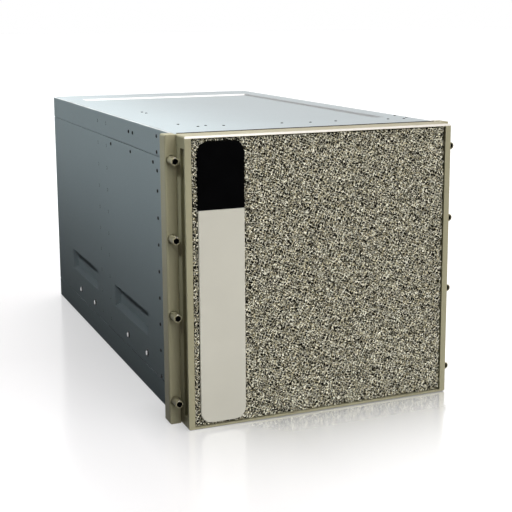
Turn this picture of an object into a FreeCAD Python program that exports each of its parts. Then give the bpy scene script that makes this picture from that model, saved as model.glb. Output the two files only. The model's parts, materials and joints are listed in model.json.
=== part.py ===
import FreeCAD, Part
import math
import os
import re

import Sketcher
from FreeCAD import Placement, Rotation, Vector

# Driving sizes in millimetres
SIZES = {
    # rack standard and overall size
    "rack_unit": 44.45, "units_high": 10, "height_play": 0.8, "ear_span": 482.6, "hole_span": 465.1,
    "hole_edge": 6.35, "overall_length": 897, "chassis_width": 447, "rear_overhang": 14,
    # chassis sheet metal
    "sheet": 1.5, "base_flange": 40, "cover_flange": 42, "seam_gap": 1.4, "lip": 18, "joggle_gap": 0.1,
    "bend_round": 2.5, "panel_gap": 0.5, "frame_sheet": 2,
    "field_side": 38, "field_end": 100, "field_depth": 3, "field_slope": 4,
    "recess_length": 210, "recess_height": 42, "recess_foot": 92, "recess_depth": 9, "recess_slope": 8,
    "front_recess": 305, "rear_recess": 640,
    # bezel
    "bezel_width": 446.4, "bezel_depth": 45, "bezel_stand_off": 36, "bezel_lift": 0.6, "rim_side": 10,
    "rim_edge": 3.5, "bezel_wall": 4, "bezel_corner": 3, "bezel_edge": 1.2, "bezel_brow": 3,
    "groove_depth": 6, "groove_width": 16, "groove_front": 4, "groove_end": 18,
    "foam_inset": 0.8, "foam_thickness": 13, "foam_play": 0.2, "ledge": 6, "ledge_thickness": 2,
    "label_side": 19.6, "label_width": 73, "label_foot": 8, "label_split": 334, "label_head": 435,
    "label_round": 18, "label_thickness": 3, "label_inset": 0.2, "label_gap": 0.5, "label_edge": 1,
    "catch_radius": 3, "catch_reach": 9, "catch_side": 214, "catch_edge": 10, "catch_chamfer": 1,
    "catch_band": 3, "catch_waist": 0.8, "catch_foot": 1, "socket_size": 10.4, "socket_depth": 12,
    "socket_radius": 3.4,
    # rack ears and captive screws
    "ear_thickness": 24, "ear_round": 3, "screw_radius": 3, "screw_play": 0.5, "screw_tail": 14,
    "neck_radius": 2.5, "neck_clear": 0.5, "screw_point": 1.5, "collar_radius": 7, "collar_thickness": 1.5,
    "counterbore_radius": 7.6, "counterbore_depth": 4, "head_radius": 6, "head_reach": 20.5,
    "head_chamfer": 0.6, "socket_flats": 8.6, "socket_reach": 14,
    # rail studs
    "stud_radius": 3, "stud_reach": 2.6, "stud_head": 4, "stud_flange": 1, "stud_chamfer": 0.4,
    "stud_height": 62, "front_studs": 208, "rear_studs": 560, "stud_spacing": 115,
    # fans
    "fan_pitch": 104, "fan_columns": 4, "fan_rows": 3, "fan_foot": 168, "fan_flange": 101,
    "flange_thickness": 2,
    "fan_body": 95, "fan_opening": 96, "fan_bore": 45, "fan_depth": 52, "guard_thickness": 1.5,
    "guard_ring": 44, "guard_step": 10, "guard_rings": 3, "guard_band": 2.4, "guard_bar": 3,
    "guard_reach": 64.6, "guard_disc": 14,
    "hub_radius": 20, "hub_wall": 2, "hub_length": 26, "hub_front": 6, "hub_round": 3, "rotor_radius": 43.5,
    "shaft_radius": 3, "shaft_play": 0.08, "shaft_end": 1, "stator_radius": 16.5, "stator_gap": 3,
    "motor_plate": 4, "plate_lap": 1, "strut": 4, "blade_count": 7, "blade_thickness": 1.8, "blade_root": 5,
    "blade_tip": 13, "blade_front": 2, "blade_back": 1, "blade_sink": 1.2, "blade_spare": 1, "rotor_turn": 17,
    # drives and control panel
    "drive_pitch": 20.5, "drives_per_bank": 4, "drive_width": 17, "drive_height": 84, "drive_length": 108,
    "drive_foot": 12, "bank_side": 204, "carrier_rail": 15, "carrier_waist": 1.5, "latch_reach": 12,
    "latch_chin": 6, "latch_round": 1.2, "latch_slot": 2.4, "latch_slot_height": 13.4, "cage_height": 104,
    "cage_margin": 2, "runner_half": 2, "board_thickness": 1.6, "backplane_spare": 6, "backplane_vent": 3,
    "backplane_vent_foot": 30, "backplane_vent_head": 76,
    "panel_half": 112, "panel_foot": 5, "panel_head": 107, "panel_side_lap": 8, "panel_end_lap": 6,
    "vent_width": 4, "vent_height": 78, "vent_pitch": 9, "vent_count": 11, "vent_margin": 10,
    "power_radius": 6, "identify_radius": 4, "button_play": 0.25, "button_length": 9, "button_proud": 3,
    "button_dome": 0.6, "button_edge": 0.8, "button_taper": 1, "button_flange": 1.5, "button_gap": 0.1,
    "button_x": 62, "power_height": 80, "identify_height": 50,
    # bays behind the fans
    "midplane_front": 180, "midplane_thickness": 3.2, "midplane_half": 210, "midplane_drop": 12,
    "air_half": 42, "air_pitch": 100, "shelf_height": 149, "shelf_flange": 14,
    "power_shelf": 47, "tray_half": 218.5, "tray_play": 0.3, "tray_start": 195, "tray_wall": 60,
    "tray_head": 436,
    "rear_wall": 2, "rear_inset": 1, "window_half": 205, "window_foot": 205, "window_head": 430,
    "cell_pitch": 20, "cell_web": 3, "grille_border": 8, "grille_head": 4, "standoff": 6,
    "standoff_radius": 4, "standoff_side": 190, "board_half": 205, "module_board": 3,
    "module_board_front": 12, "module_board_back": 30,
    "sink_width": 92, "sink_pitch": 102, "sink_length": 150, "sink_height": 190, "sink_base": 12,
    "front_sinks": -190, "rear_sinks": 40, "fin_count": 13, "fin": 1.8,
    "system_head": 146, "system_wall": 30, "system_board_front": 20, "system_board_back": 8,
    "system_vent_half": 12, "system_vent_pitch": 30, "system_vent_count": 13, "system_vent_foot": 88,
    "system_vent_head": 108, "processor_x": 102, "processor_front": -60, "processor_sink": 88,
    "processor_length": 118, "processor_height": 68, "processor_base": 8, "processor_fins": 15,
    "memory_length": 133, "memory_height": 31, "memory_thickness": 3.4, "memory_pitch": 8, "memory_gap": 6,
    "memory_front": -65, "memory_key": 70.5, "memory_notch": 3, "memory_row": 6,
    "cage_width": 23, "cage_opening": 14, "cage_sheet": 1, "cage_length": 70, "port_pitch": 27,
    "port_play": 0.2, "port_proud": 0.8,
    # ejector levers
    "lever_x": 205, "lever_out": 5.5, "lever_length": 112, "lever_height": 20, "lever_thickness": 5,
    "lever_flare": 3, "lever_tip": 8, "lever_bend": 16, "lever_round": 1.2, "knuckle": 5, "pin_radius": 2,
    "pin_play": 0.08, "clevis": 2.5, "clevis_play": 0.4, "clevis_round": 3.5, "grip_reach": 4,
    "module_lever": 178, "system_lever": 120,
    # power supplies
    "supply_pitch": 73.6, "supply_width": 71.6, "supply_height": 43, "supply_length": 330, "supply_count": 6,
    "supply_round": 1.5, "inlet_width": 25, "inlet_height": 19, "inlet_depth": 14, "inlet_x": 20,
    "inlet_round": 2.5, "supply_fan": 17, "supply_fan_core": 6.8, "supply_fan_x": 18, "supply_fan_depth": 1.5,
    "handle_bar": 4, "handle_width": 8, "handle_height": 34, "handle_round": 1.5, "divider": 1,
}

doc = FreeCAD.newDocument("gpu_server")
sheet = doc.addObject("Spreadsheet::Sheet", "Dims")
for row, (alias, size) in enumerate(SIZES.items(), start=1):
    sheet.set(f"A{row}", alias)
    sheet.set(f"B{row}", str(size))
    sheet.setAlias(f"B{row}", alias)
doc.recompute()


def cells(text):
    """An expression in plain size names, written with the sheet's cells."""
    return re.sub(r"[a-z]\w*", lambda word: "Dims." + word.group() if word.group() in SIZES else word.group(),
                  str(text))


def value(text):
    return float(sheet.evalExpression(cells(text)))


# Planes that several pieces share, as expressions
HEIGHT = "(rack_unit * units_high - height_play)"
HALF = "(chassis_width / 2)"
BEZEL_FRONT = "(-overall_length / 2)"
EAR_FRONT = f"({BEZEL_FRONT} + bezel_stand_off)"
BEZEL_BACK = f"({BEZEL_FRONT} + bezel_depth)"
PANEL_FRONT = f"({BEZEL_BACK} + panel_gap)"
FRAME_BACK = f"({PANEL_FRONT} + frame_sheet)"
PANEL_BACK = "(overall_length / 2 - rear_overhang)"
REAR_FACE = f"({PANEL_BACK} - rear_inset)"
LIP_INNER = f"({HALF} - 2 * sheet - joggle_gap)"
MIDPLANE = f"({BEZEL_FRONT} + midplane_front)"
BAY_FRONT = f"({MIDPLANE} + midplane_thickness)"
TRAY_FRONT = f"({BEZEL_FRONT} + tray_start)"
SHELF_TOP = "(shelf_height + sheet)"
POWER_TOP = "(power_shelf + sheet)"
SCREW_HEIGHTS = ("rack_unit - hole_edge", "4 * rack_unit - hole_edge", "6.5 * rack_unit",
                 "9 * rack_unit + hole_edge")
STUD_DEPTHS = ("front_studs", "front_studs + stud_spacing", "rear_studs", "rear_studs + stud_spacing")
ROD_TURNS = {"y": Rotation(Vector(1, 0, 0), -90), "z": Rotation()}
SIDES = {"left": -1, "right": 1}
PAST = 1  # how far a cutting tool runs past the face it cuts


def bind(feature, **expressions):
    for prop, text in expressions.items():
        feature.setExpression(prop, cells(text))
    return feature


def locate(feature, x="0", y="0", z="0", turn=None):
    if turn is not None:
        feature.Placement = Placement(Vector(), turn)
    for axis, text in zip("xyz", (x, y, z)):
        feature.setExpression(f"Placement.Base.{axis}", cells(text))
    return feature


def box(name, x, y, z):
    """A block between a low and a high plane on each axis."""
    made = doc.addObject("Part::Box", name)
    for prop, (low, high) in zip(("Length", "Width", "Height"), (x, y, z)):
        made.setExpression(prop, cells(f"({high}) - ({low})"))
    return locate(made, x[0], y[0], z[0])


def rod(name, axis, radius, length, x="0", y="0", z="0"):
    made = bind(doc.addObject("Part::Cylinder", name), Radius=radius, Height=length)
    return locate(made, x, y, z, ROD_TURNS[axis])


def group(name, members):
    made = doc.addObject("Part::Compound", name)
    made.Links = list(members)
    return made


def copy(name, master, x="0", y="0", z="0", turn=None):
    return locate(group(name, [master]), x, y, z, turn)


def fuse(name, *members):
    made = doc.addObject("Part::MultiFuse", name)
    made.Shapes = list(members)
    made.Refine = True
    return made


def cut(name, base, tools):
    made = doc.addObject("Part::Cut", name)
    made.Base = base
    made.Tool = tools[0] if len(tools) == 1 else group(name + "_tools", tools)
    return made


def mirror(name, source):
    made = doc.addObject("Part::Mirroring", name)
    made.Source = source
    made.Normal = Vector(1, 0, 0)
    return made


def draw(sketch, points):
    """A closed outline whose corners are bound to the sheet."""
    start = sketch.GeometryCount
    corners = [Vector(value(x), value(y), 0) for x, y in points]
    count = len(points)
    for index, corner in enumerate(corners):
        sketch.addGeometry(Part.LineSegment(corner, corners[(index + 1) % count]))
    for index in range(count):
        following = start + (index + 1) % count
        sketch.addConstraint(Sketcher.Constraint("Coincident", start + index, 2, following, 1))
    for line, (corner, texts) in enumerate(zip(corners, points), start=start):
        for kind, size, text, axis in zip(("DistanceX", "DistanceY"), corner[:2], texts, (-2, -1)):
            if abs(size) < 1e-9:
                sketch.addConstraint(Sketcher.Constraint("PointOnObject", line, 1, axis))
                continue
            row = sketch.addConstraint(Sketcher.Constraint(kind, -1, 1, line, 1, size))
            sketch.setExpression(f"Constraints[{row}]", cells(text))


def origin(body, role):
    return next(item for item in body.Origin.OriginFeatures if item.Role == role)


def sketch_on(body, plane, name, outlines, offset="0"):
    sketch = body.newObject("Sketcher::SketchObject", name)
    sketch.AttachmentSupport = [(origin(body, plane + "_Plane"), "")]
    sketch.MapMode = "FlatFace"
    sketch.setExpression("AttachmentOffset.Base.z", cells(offset))
    for outline in outlines:
        draw(sketch, outline)
    return sketch


def feature(body, kind, name, sketch, length, reverse=False):
    made = body.newObject("PartDesign::" + kind, name)
    made.Profile = sketch
    made.setExpression("Length", cells(length))
    made.Reversed = reverse
    return made


def extruded(name, plane, outlines, length):
    """A body made by extruding outlines from one origin plane, along +Y, +Z or +X."""
    body = doc.addObject("PartDesign::Body", name)
    sketch = sketch_on(body, plane, name + "_outline", outlines)
    feature(body, "Pad", name + "_pad", sketch, length, reverse=plane == "XZ")
    return body


def pocket(body, plane, outlines, depth, offset="0", reverse=False):
    name = f"{body.Name}_pocket_{len(body.Group)}"
    sketch = sketch_on(body, plane, name + "_outline", outlines, offset)
    return feature(body, "Pocket", name, sketch, depth, reverse)


def revolved(name, outline):
    """A body turned about the Y axis, from an outline of radius and place along Y."""
    body = doc.addObject("PartDesign::Body", name)
    sketch = sketch_on(body, "XY", name + "_outline", [outline])
    turned = body.newObject("PartDesign::Revolution", name + "_turned")
    turned.Profile = sketch
    turned.ReferenceAxis = (sketch, ["V_Axis"])
    turned.Angle = 360
    return body


def dressed(body, kind, rule, size):
    """Rounds or chamfers the edges of a body whose boxes pass a rule."""
    doc.recompute()
    base = body.Tip
    edges = enumerate(base.Shape.Edges, start=1)
    names = [f"Edge{number}" for number, edge in edges if rule(edge.BoundBox)]
    made = body.newObject("PartDesign::" + kind, f"{body.Name}_{kind.lower()}_{len(body.Group)}")
    made.Base = (base, names)
    made.setExpression("Radius" if kind == "Fillet" else "Size", cells(size))
    return body


def rectangle(x0, x1, y0, y1):
    return [(x0, y0), (x1, y0), (x1, y1), (x0, y1)]


def near(a, b):
    return abs(a - b) < 0.01


def runs_along(axis):
    """A rule for edges that are straight along one axis."""
    others = [name for name in ("XLength", "YLength", "ZLength") if name[0] != axis]
    return lambda bounds: all(getattr(bounds, name) < 0.01 for name in others)


def channel(half, foot, head, thickness):
    """Outline of a sheet folded into a U, open at its head."""
    inner = f"{half} - {thickness}"
    floor = f"{foot} + {thickness}"
    return [(f"-({half})", foot), (half, foot), (half, head), (inner, head), (inner, floor),
            (f"-({inner})", floor), (f"-({inner})", head), (f"-({half})", head)]


def pressed(name, panel, low, high, depth, slope, turn, x="0", y="0", z="0"):
    """A panel with a sloped-wall rectangular field pressed into it, sheet thickness kept."""
    shapes = {}
    for part, grow, start in (("skin", "sheet", "0"), ("hollow", "0", f"-{PAST}")):
        wedge = doc.addObject("Part::Wedge", f"{name}_{part}")
        bind(wedge, Ymin=start, Xmin=f"{low[0]} - {grow}", Xmax=f"{high[0]} + {grow}",
             Zmin=f"{low[1]} - {grow}", Zmax=f"{high[1]} + {grow}")
        bind(wedge, Ymax=f"{depth} + {grow}", X2min=f"{low[0]} + {slope} - {grow}",
             X2max=f"{high[0]} - {slope} + {grow}", Z2min=f"{low[1]} + {slope} - {grow}",
             Z2max=f"{high[1]} - {slope} + {grow}")
        shapes[part] = locate(wedge, x, y, z, turn)
    return cut(name, fuse(name + "_raised", panel, shapes["skin"]), [shapes["hollow"]])


# Chassis sheet metal

def chassis_base():
    outline = channel(HALF, "0", "base_flange", "sheet")
    body = extruded("chassis_base", "XZ", [outline], f"{PANEL_BACK} - {PANEL_FRONT}")
    dressed(body, "Fillet", lambda b: runs_along("Y")(b) and near(b.ZMax, 0), "bend_round")
    return locate(body, y=PANEL_FRONT)


def side_panel(name):
    """The left panel: flush between the flanges, its lips stepped in behind them."""
    face, back = f"-{HALF}", f"-{HALF} + sheet"
    lip_face, lip_back = f"-{LIP_INNER} - sheet", f"-{LIP_INNER}"
    low, high = "base_flange + seam_gap", f"{HEIGHT} - cover_flange - seam_gap"
    low_lip, high_lip = "base_flange - lip", f"{HEIGHT} - cover_flange + lip"
    outline = [(face, low), (face, high), (lip_face, high), (lip_face, high_lip), (lip_back, high_lip),
               (lip_back, f"{high} - sheet"), (back, f"{high} - sheet"), (back, f"{low} + sheet"),
               (lip_back, f"{low} + sheet"), (lip_back, low_lip), (lip_face, low_lip), (lip_face, low)]
    folded = extruded(name + "_sheet", "XZ", [outline], f"{PANEL_BACK} - {PANEL_FRONT}")
    panel = locate(folded, y=PANEL_FRONT)
    into_left = Rotation(Vector(0, 0, 1), -90)
    for place, label in (("front_recess", name + "_front"), ("rear_recess", name)):
        panel = pressed(label, panel, ("-recess_length / 2", "0"), ("recess_length / 2", "recess_height"),
                        "recess_depth", "recess_slope", into_left, f"-{HALF}", f"{BEZEL_FRONT} + {place}",
                        "recess_foot")
    return panel


def top_cover():
    outline = [(x, f"{HEIGHT} - ({z})") for x, z in channel(HALF, "0", "cover_flange", "sheet")]
    body = extruded("top_cover_sheet", "XZ", [outline], f"{PANEL_BACK} - {PANEL_FRONT}")
    dressed(body, "Fillet", lambda b: runs_along("Y")(b) and near(b.ZMin, value(HEIGHT)), "bend_round")
    half = f"{HALF} - field_side"
    downward = Rotation(Vector(1, 0, 0), -90)
    return pressed("top_cover", locate(body, y=PANEL_FRONT), (f"-({half})", f"{PANEL_FRONT} + field_end"),
                   (half, f"{PANEL_BACK} - field_end"), "field_depth", "field_slope", downward, z=HEIGHT)


def front_frame():
    outline = rectangle(f"-{LIP_INNER}", LIP_INNER, "sheet", f"{HEIGHT} - 2 * sheet")
    frame = locate(extruded("front_frame_sheet", "XZ", [outline], "frame_sheet"), y=PANEL_FRONT)
    through = (f"{PANEL_FRONT} - {PAST}", f"{FRAME_BACK} + {PAST}")
    windows = [box(f"fan_window_{number}", (f"{x} - fan_opening / 2", f"{x} + fan_opening / 2"), through,
                   (f"{z} - fan_opening / 2", f"{z} + fan_opening / 2"))
               for number, (x, z) in enumerate(fan_places(), start=1)]
    inner = "bank_side - drive_pitch * drives_per_bank"
    drive_rows = ("drive_foot", "drive_foot + drive_height")
    control_half = "panel_half - panel_side_lap"
    windows += [box("left_drive_window", ("-bank_side", f"-({inner})"), through, drive_rows),
                box("right_drive_window", (inner, "bank_side"), through, drive_rows),
                box("control_window", (f"-({control_half})", control_half), through,
                    ("panel_foot + panel_end_lap", "panel_head - panel_end_lap"))]
    return cut("front_frame", frame, windows)


# Rack ears and what fastens and carries the chassis

def rack_ear():
    outline = rectangle("-ear_span / 2", f"-{HALF}", "0", "ear_thickness")
    body = extruded("left_rack_ear", "XY", [outline], f"{HEIGHT} - bezel_lift")
    outer = value("-ear_span / 2")
    dressed(body, "Fillet", lambda b: near(b.XMax, outer) and (near(b.YMax, 0) or runs_along("Y")(b)),
            "ear_round")
    locate(body, y=EAR_FRONT, z="bezel_lift")
    holes = []
    for row, height in enumerate(SCREW_HEIGHTS):
        for name, radius, depth in (("hole", "screw_radius + screw_play", f"ear_thickness + {PAST}"),
                                    ("counterbore", "counterbore_radius", "counterbore_depth")):
            holes.append(rod(f"ear_{name}_{row}", "y", radius, f"{depth} + {PAST}", "-hole_span / 2",
                             f"{EAR_FRONT} - {PAST}", height))
    return cut("left_rack_ear_drilled", body, holes)


def captive_screws():
    """Long socket heads on a sunk collar, a thin neck through the ear and a threaded tail behind it."""
    head, seat = "-head_reach", "counterbore_depth"
    collar = f"{seat} - collar_thickness"
    neck, tail = "ear_thickness + neck_clear", "ear_thickness + screw_tail"
    body = revolved("captive_screw", [("0", head), ("head_radius - head_chamfer", head),
                                      ("head_radius", f"{head} + head_chamfer"), ("head_radius", collar),
                                      ("collar_radius", collar), ("collar_radius", seat),
                                      ("neck_radius", seat), ("neck_radius", neck), ("screw_radius", neck),
                                      ("screw_radius", f"{tail} - screw_point"),
                                      ("screw_radius - screw_point", tail), ("0", tail)])
    hexagon = [(f"socket_flats / sqrt(3) * cos({angle}deg)", f"socket_flats / sqrt(3) * sin({angle}deg)")
               for angle in range(30, 390, 60)]
    pocket(body, "XZ", [hexagon], "socket_reach", offset="head_reach")
    places = [(f"{side} * hole_span / 2", height) for side in SIDES.values() for height in SCREW_HEIGHTS]
    return group("captive_screws", [copy(f"captive_screw_{number}", body, x, EAR_FRONT, z)
                                    for number, (x, z) in enumerate(places, start=1)])


def rail_studs():
    under = "stud_reach - stud_flange"
    body = revolved("rail_stud", [("0", "0"), ("stud_radius", "0"), ("stud_radius", under),
                                  ("stud_head", under), ("stud_head", "stud_reach - stud_chamfer"),
                                  ("stud_head - stud_chamfer", "stud_reach"), ("0", "stud_reach")])
    studs = []
    for side, sign in SIDES.items():
        outward = Rotation(Vector(0, 0, 1), -90 * sign)
        for number, depth in enumerate(STUD_DEPTHS, start=1):
            studs.append(copy(f"{side}_stud_{number}", body, f"{sign} * {HALF}", f"{BEZEL_FRONT} + {depth}",
                              "stud_height", outward))
    return group("rail_studs", studs)


# Bezel

def bezel_frame():
    half, head = "(bezel_width / 2)", f"({HEIGHT} - bezel_lift)"
    body = extruded("bezel_frame", "XZ", [rectangle(f"-{half}", half, "0", head)], "bezel_depth")
    dressed(body, "Fillet", runs_along("Y"), "bezel_corner")
    dressed(body, "Fillet", lambda b: near(b.YMax, 0), "bezel_edge")
    seat = "foam_inset + foam_thickness"
    opening = rectangle(f"-{half} + rim_side", f"{half} - rim_side", "rim_edge", f"{head} - rim_edge")
    ledge = rectangle(f"-{half} + rim_side + ledge", f"{half} - rim_side - ledge", "rim_edge + ledge",
                      f"{head} - rim_edge - ledge")
    cavity = rectangle(f"-{half} + bezel_wall", f"{half} - bezel_wall", "rim_edge", f"{head} - rim_edge")
    pocket(body, "XZ", [opening], seat)
    pocket(body, "XZ", [ledge], "bezel_depth")
    behind = f"({seat}) + ledge_thickness"
    pocket(body, "XZ", [cavity], f"bezel_depth - ({behind})", offset=f"-({behind})")
    groove = rectangle("groove_front", "groove_front + groove_width", "groove_end", f"{head} - groove_end")
    pocket(body, "YZ", [groove], "groove_depth", offset=f"-{half}", reverse=True)
    pocket(body, "YZ", [groove], "groove_depth", offset=half)
    brow = [(f"-{PAST}", f"{head} - bezel_brow - {PAST}"), (f"bezel_brow + {PAST}", f"{head} + {PAST}"),
            (f"-{PAST}", f"{head} + {PAST}")]
    pocket(body, "YZ", [brow], "bezel_width", offset=half)
    return locate(body, y=BEZEL_FRONT, z="bezel_lift")


LABEL_LEFT = "(-bezel_width / 2 + label_side)"
LABEL_RIGHT = "(-bezel_width / 2 + label_side + label_width)"


def bezel_foam():
    half = "(bezel_width / 2 - rim_side - foam_play)"
    outline = rectangle(f"-{half}", half, "bezel_lift + rim_edge + foam_play",
                        f"{HEIGHT} - rim_edge - foam_play")
    body = extruded("bezel_foam", "XZ", [outline], "foam_thickness")
    seat = rectangle(LABEL_LEFT, LABEL_RIGHT, "label_foot", "label_head")
    pocket(body, "XZ", [seat], "label_thickness + label_inset - foam_inset")
    edge = value(half)
    dressed(body, "Fillet", lambda b: runs_along("Y")(b) and not near(abs(b.XMin), edge), "label_round")
    return locate(body, y=f"{BEZEL_FRONT} + foam_inset")


def label_plate(name, low, high, round_low):
    """One half of the label strip: rounded outer corners, and a bevel along all but the split."""
    body = extruded(name, "XZ", [rectangle(LABEL_LEFT, LABEL_RIGHT, low, high)], "label_thickness")
    end, split = value(low if round_low else high), value(high if round_low else low)
    dressed(body, "Fillet", lambda b: runs_along("Y")(b) and near(b.ZMin, end), "label_round")
    at_split = lambda b: near(b.ZMin, split) and near(b.ZMax, split)
    dressed(body, "Chamfer", lambda b: near(b.YMax, 0) and not at_split(b), "label_edge")
    return locate(body, y=f"{BEZEL_FRONT} + label_inset")


def corner_places():
    return [(f"{side} * catch_side", z) for side in SIDES.values()
            for z in ("bezel_lift + catch_edge", f"{HEIGHT} - catch_edge")]


def bezel_catches():
    waist, band = "catch_radius - catch_waist", "-catch_reach + catch_chamfer + catch_band"
    body = revolved("bezel_catch", [("0", "-catch_reach"), ("catch_radius - catch_chamfer", "-catch_reach"),
                                    ("catch_radius", "-catch_reach + catch_chamfer"), ("catch_radius", band),
                                    (waist, f"{band} + catch_waist"), (waist, "-catch_foot - catch_waist"),
                                    ("catch_radius", "-catch_foot"), ("catch_radius", "0"), ("0", "0")])
    return group("bezel_catches", [copy(f"bezel_catch_{number}", body, x, PANEL_FRONT, z)
                                   for number, (x, z) in enumerate(corner_places(), start=1)])


def bezel_sockets():
    reach = "socket_size / 2"
    square = rectangle(f"-{reach}", reach, f"-{reach}", reach)
    block = extruded("bezel_socket", "XZ", [square], "socket_depth")
    bore = rod("socket_bore", "y", "socket_radius", f"socket_depth + 2 * {PAST}", y=f"-{PAST}")
    drilled = cut("bezel_socket_drilled", block, [bore])
    front = f"{BEZEL_BACK} - socket_depth"
    return group("bezel_sockets", [copy(f"bezel_socket_{number}", drilled, x, front, z)
                                   for number, (x, z) in enumerate(corner_places(), start=1)])


# Fans

def fan_places():
    places = []
    for row in range(int(value("fan_rows"))):
        for column in range(int(value("fan_columns"))):
            across = f"fan_pitch * ({column} - (fan_columns - 1) / 2)"
            places.append((across, f"fan_foot + fan_pitch * {row}"))
    return places


def fan_housing():
    """A square barrel with a front flange, rear struts and the motor stator they carry."""
    reach, edge = "fan_body / 2", "fan_flange / 2"
    square = rectangle(f"-{edge}", edge, f"-{edge}", edge)
    flange = extruded("housing_flange", "XZ", [square], "flange_thickness")
    locate(flange, y="-flange_thickness")
    barrel_square = rectangle(f"-{reach}", reach, f"-{reach}", reach)
    barrel = extruded("housing_barrel", "XZ", [barrel_square], "fan_depth")
    dressed(barrel, "Fillet", runs_along("Y"), "hub_round")
    along = (f"fan_depth + flange_thickness + 2 * {PAST}", f"-flange_thickness - {PAST}")
    bore = rod("housing_bore", "y", "fan_bore", along[0], y=along[1])
    bored = cut("housing_bored", fuse("housing_square", flange, barrel), [bore])
    rear = "fan_depth - motor_plate"
    struts = [box("strut_level", (f"-{reach}", reach), (rear, "fan_depth"), ("-strut / 2", "strut / 2")),
              box("strut_upright", ("-strut / 2", "strut / 2"), (rear, "fan_depth"), (f"-{reach}", reach))]
    plate = rod("motor_plate", "y", "hub_radius + plate_lap", "motor_plate", y=rear)
    inside = "hub_front + hub_wall + stator_gap"
    stator = rod("motor_stator", "y", "stator_radius", f"{rear} - ({inside})", y=inside)
    solid = fuse("housing_solid", bored, plate, stator, *struts)
    bearing = rod("bearing_bore", "y", "shaft_radius + shaft_play", along[0], y=along[1])
    return cut("fan_housing", solid, [bearing])


def fan_guard():
    """A stamped finger guard: rings on a diagonal cross with screw tabs."""
    rings = []
    for number in range(int(value("guard_rings"))):
        radius = f"guard_ring - guard_step * {number}"
        outer = rod(f"guard_outer_{number}", "y", radius, "guard_thickness")
        inner = rod(f"guard_inner_{number}", "y", f"{radius} - guard_band", f"guard_thickness + 2 * {PAST}",
                    y=f"-{PAST}")
        rings.append(cut(f"guard_ring_{number}", outer, [inner]))
    bars = []
    outline = rectangle("-guard_reach", "guard_reach", "-guard_bar / 2", "guard_bar / 2")
    for number, angle in enumerate((45, -45)):
        bar = extruded(f"guard_bar_{number}", "XZ", [outline], "guard_thickness")
        bars.append(locate(bar, turn=Rotation(Vector(0, 1, 0), angle)))
    centre = rod("guard_centre", "y", "guard_disc", "guard_thickness")
    return fuse("fan_guard", centre, *rings, *bars)


def fan_rotor():
    """A cup hub on its shaft with twisted blades trimmed to one tip radius."""
    back = "hub_front + hub_length"
    inside, shaft = "hub_radius - hub_wall", "fan_depth - shaft_end"
    web = "hub_front + hub_wall"
    body = revolved("rotor_wheel", [("0", "hub_front"), ("hub_radius - hub_round", "hub_front"),
                                    ("hub_radius", "hub_front + hub_round"), ("hub_radius", back),
                                    (inside, back), (inside, web), ("shaft_radius", web),
                                    ("shaft_radius", shaft), ("0", shaft)])
    front, rear, half = "hub_front + blade_front", f"{back} - blade_back", "blade_thickness / 2"
    sections = []
    for lean, radius in (("blade_root", "hub_radius - blade_sink"), ("blade_tip", "fan_bore + blade_spare")):
        outline = [(f"{lean} - {half}", front), (f"{lean} + {half}", front), (f"-{lean} + {half}", rear),
                   (f"-{lean} - {half}", rear)]
        sections.append(sketch_on(body, "XY", f"{lean}_section", [outline], offset=radius))
    blade = body.newObject("PartDesign::AdditiveLoft", "blade")
    blade.Profile = sections[0]
    blade.Sections = [sections[1]]
    blade.Ruled = True
    doc.recompute()
    blades = body.newObject("PartDesign::PolarPattern", "blades")
    blades.Originals = [blade]
    blades.Axis = (origin(body, "Y_Axis"), [""])
    blades.Angle = 360
    blades.setExpression("Occurrences", cells("blade_count"))
    body.Tip = blades
    trim = doc.addObject("Part::Common", "rotor_trimmed")
    trim.Base = body
    trim.Tool = rod("rotor_envelope", "y", "rotor_radius", "fan_depth")
    return trim


def fan_nodes():
    housing, guard, rotor = fan_housing(), fan_guard(), fan_rotor()
    places = list(enumerate(fan_places(), start=1))
    guard_face = f"{PANEL_FRONT} - flange_thickness - guard_thickness"
    housings, guards, rotors = [], [], []
    for number, (x, z) in places:
        stopped = Rotation(Vector(0, 1, 0), value("rotor_turn") * number)
        housings.append(copy(f"housing_{number}", housing, x, PANEL_FRONT, z))
        guards.append(copy(f"guard_{number}", guard, x, guard_face, z))
        rotors.append(copy(f"fan_rotor_{number:02d}", rotor, x, PANEL_FRONT, z, stopped))
    return [group("fan_housings", housings), group("fan_guards", guards), *rotors]


# Drives and control panel

def drive_places():
    places = []
    for side in SIDES.values():
        for number in range(int(value("drives_per_bank"))):
            places.append(f"{side} * (bank_side - drive_pitch * ({number} + 0.5))")
    return places


def drive_carriers():
    half, waist = "drive_width / 2", "drive_width / 2 - carrier_waist"
    low, high = "carrier_rail", "drive_height - carrier_rail"
    right = [(half, "0"), (half, low), (waist, low), (waist, high), (half, high), (half, "drive_height")]
    outline = right + [(f"-({x})", z) for x, z in reversed(right)]
    body = extruded("drive_carrier", "XZ", [outline], "drive_length")
    return group("drive_carriers", [copy(f"drive_carrier_{number}", body, x, PANEL_FRONT, "drive_foot")
                                    for number, x in enumerate(drive_places(), start=1)])


LATCH_SLOT_COLUMNS = (0.2, 0.43, 0.66)  # shares of the carrier's width
LATCH_SLOT_ROWS = (0.16, 0.36, 0.56)  # shares of its height


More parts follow.
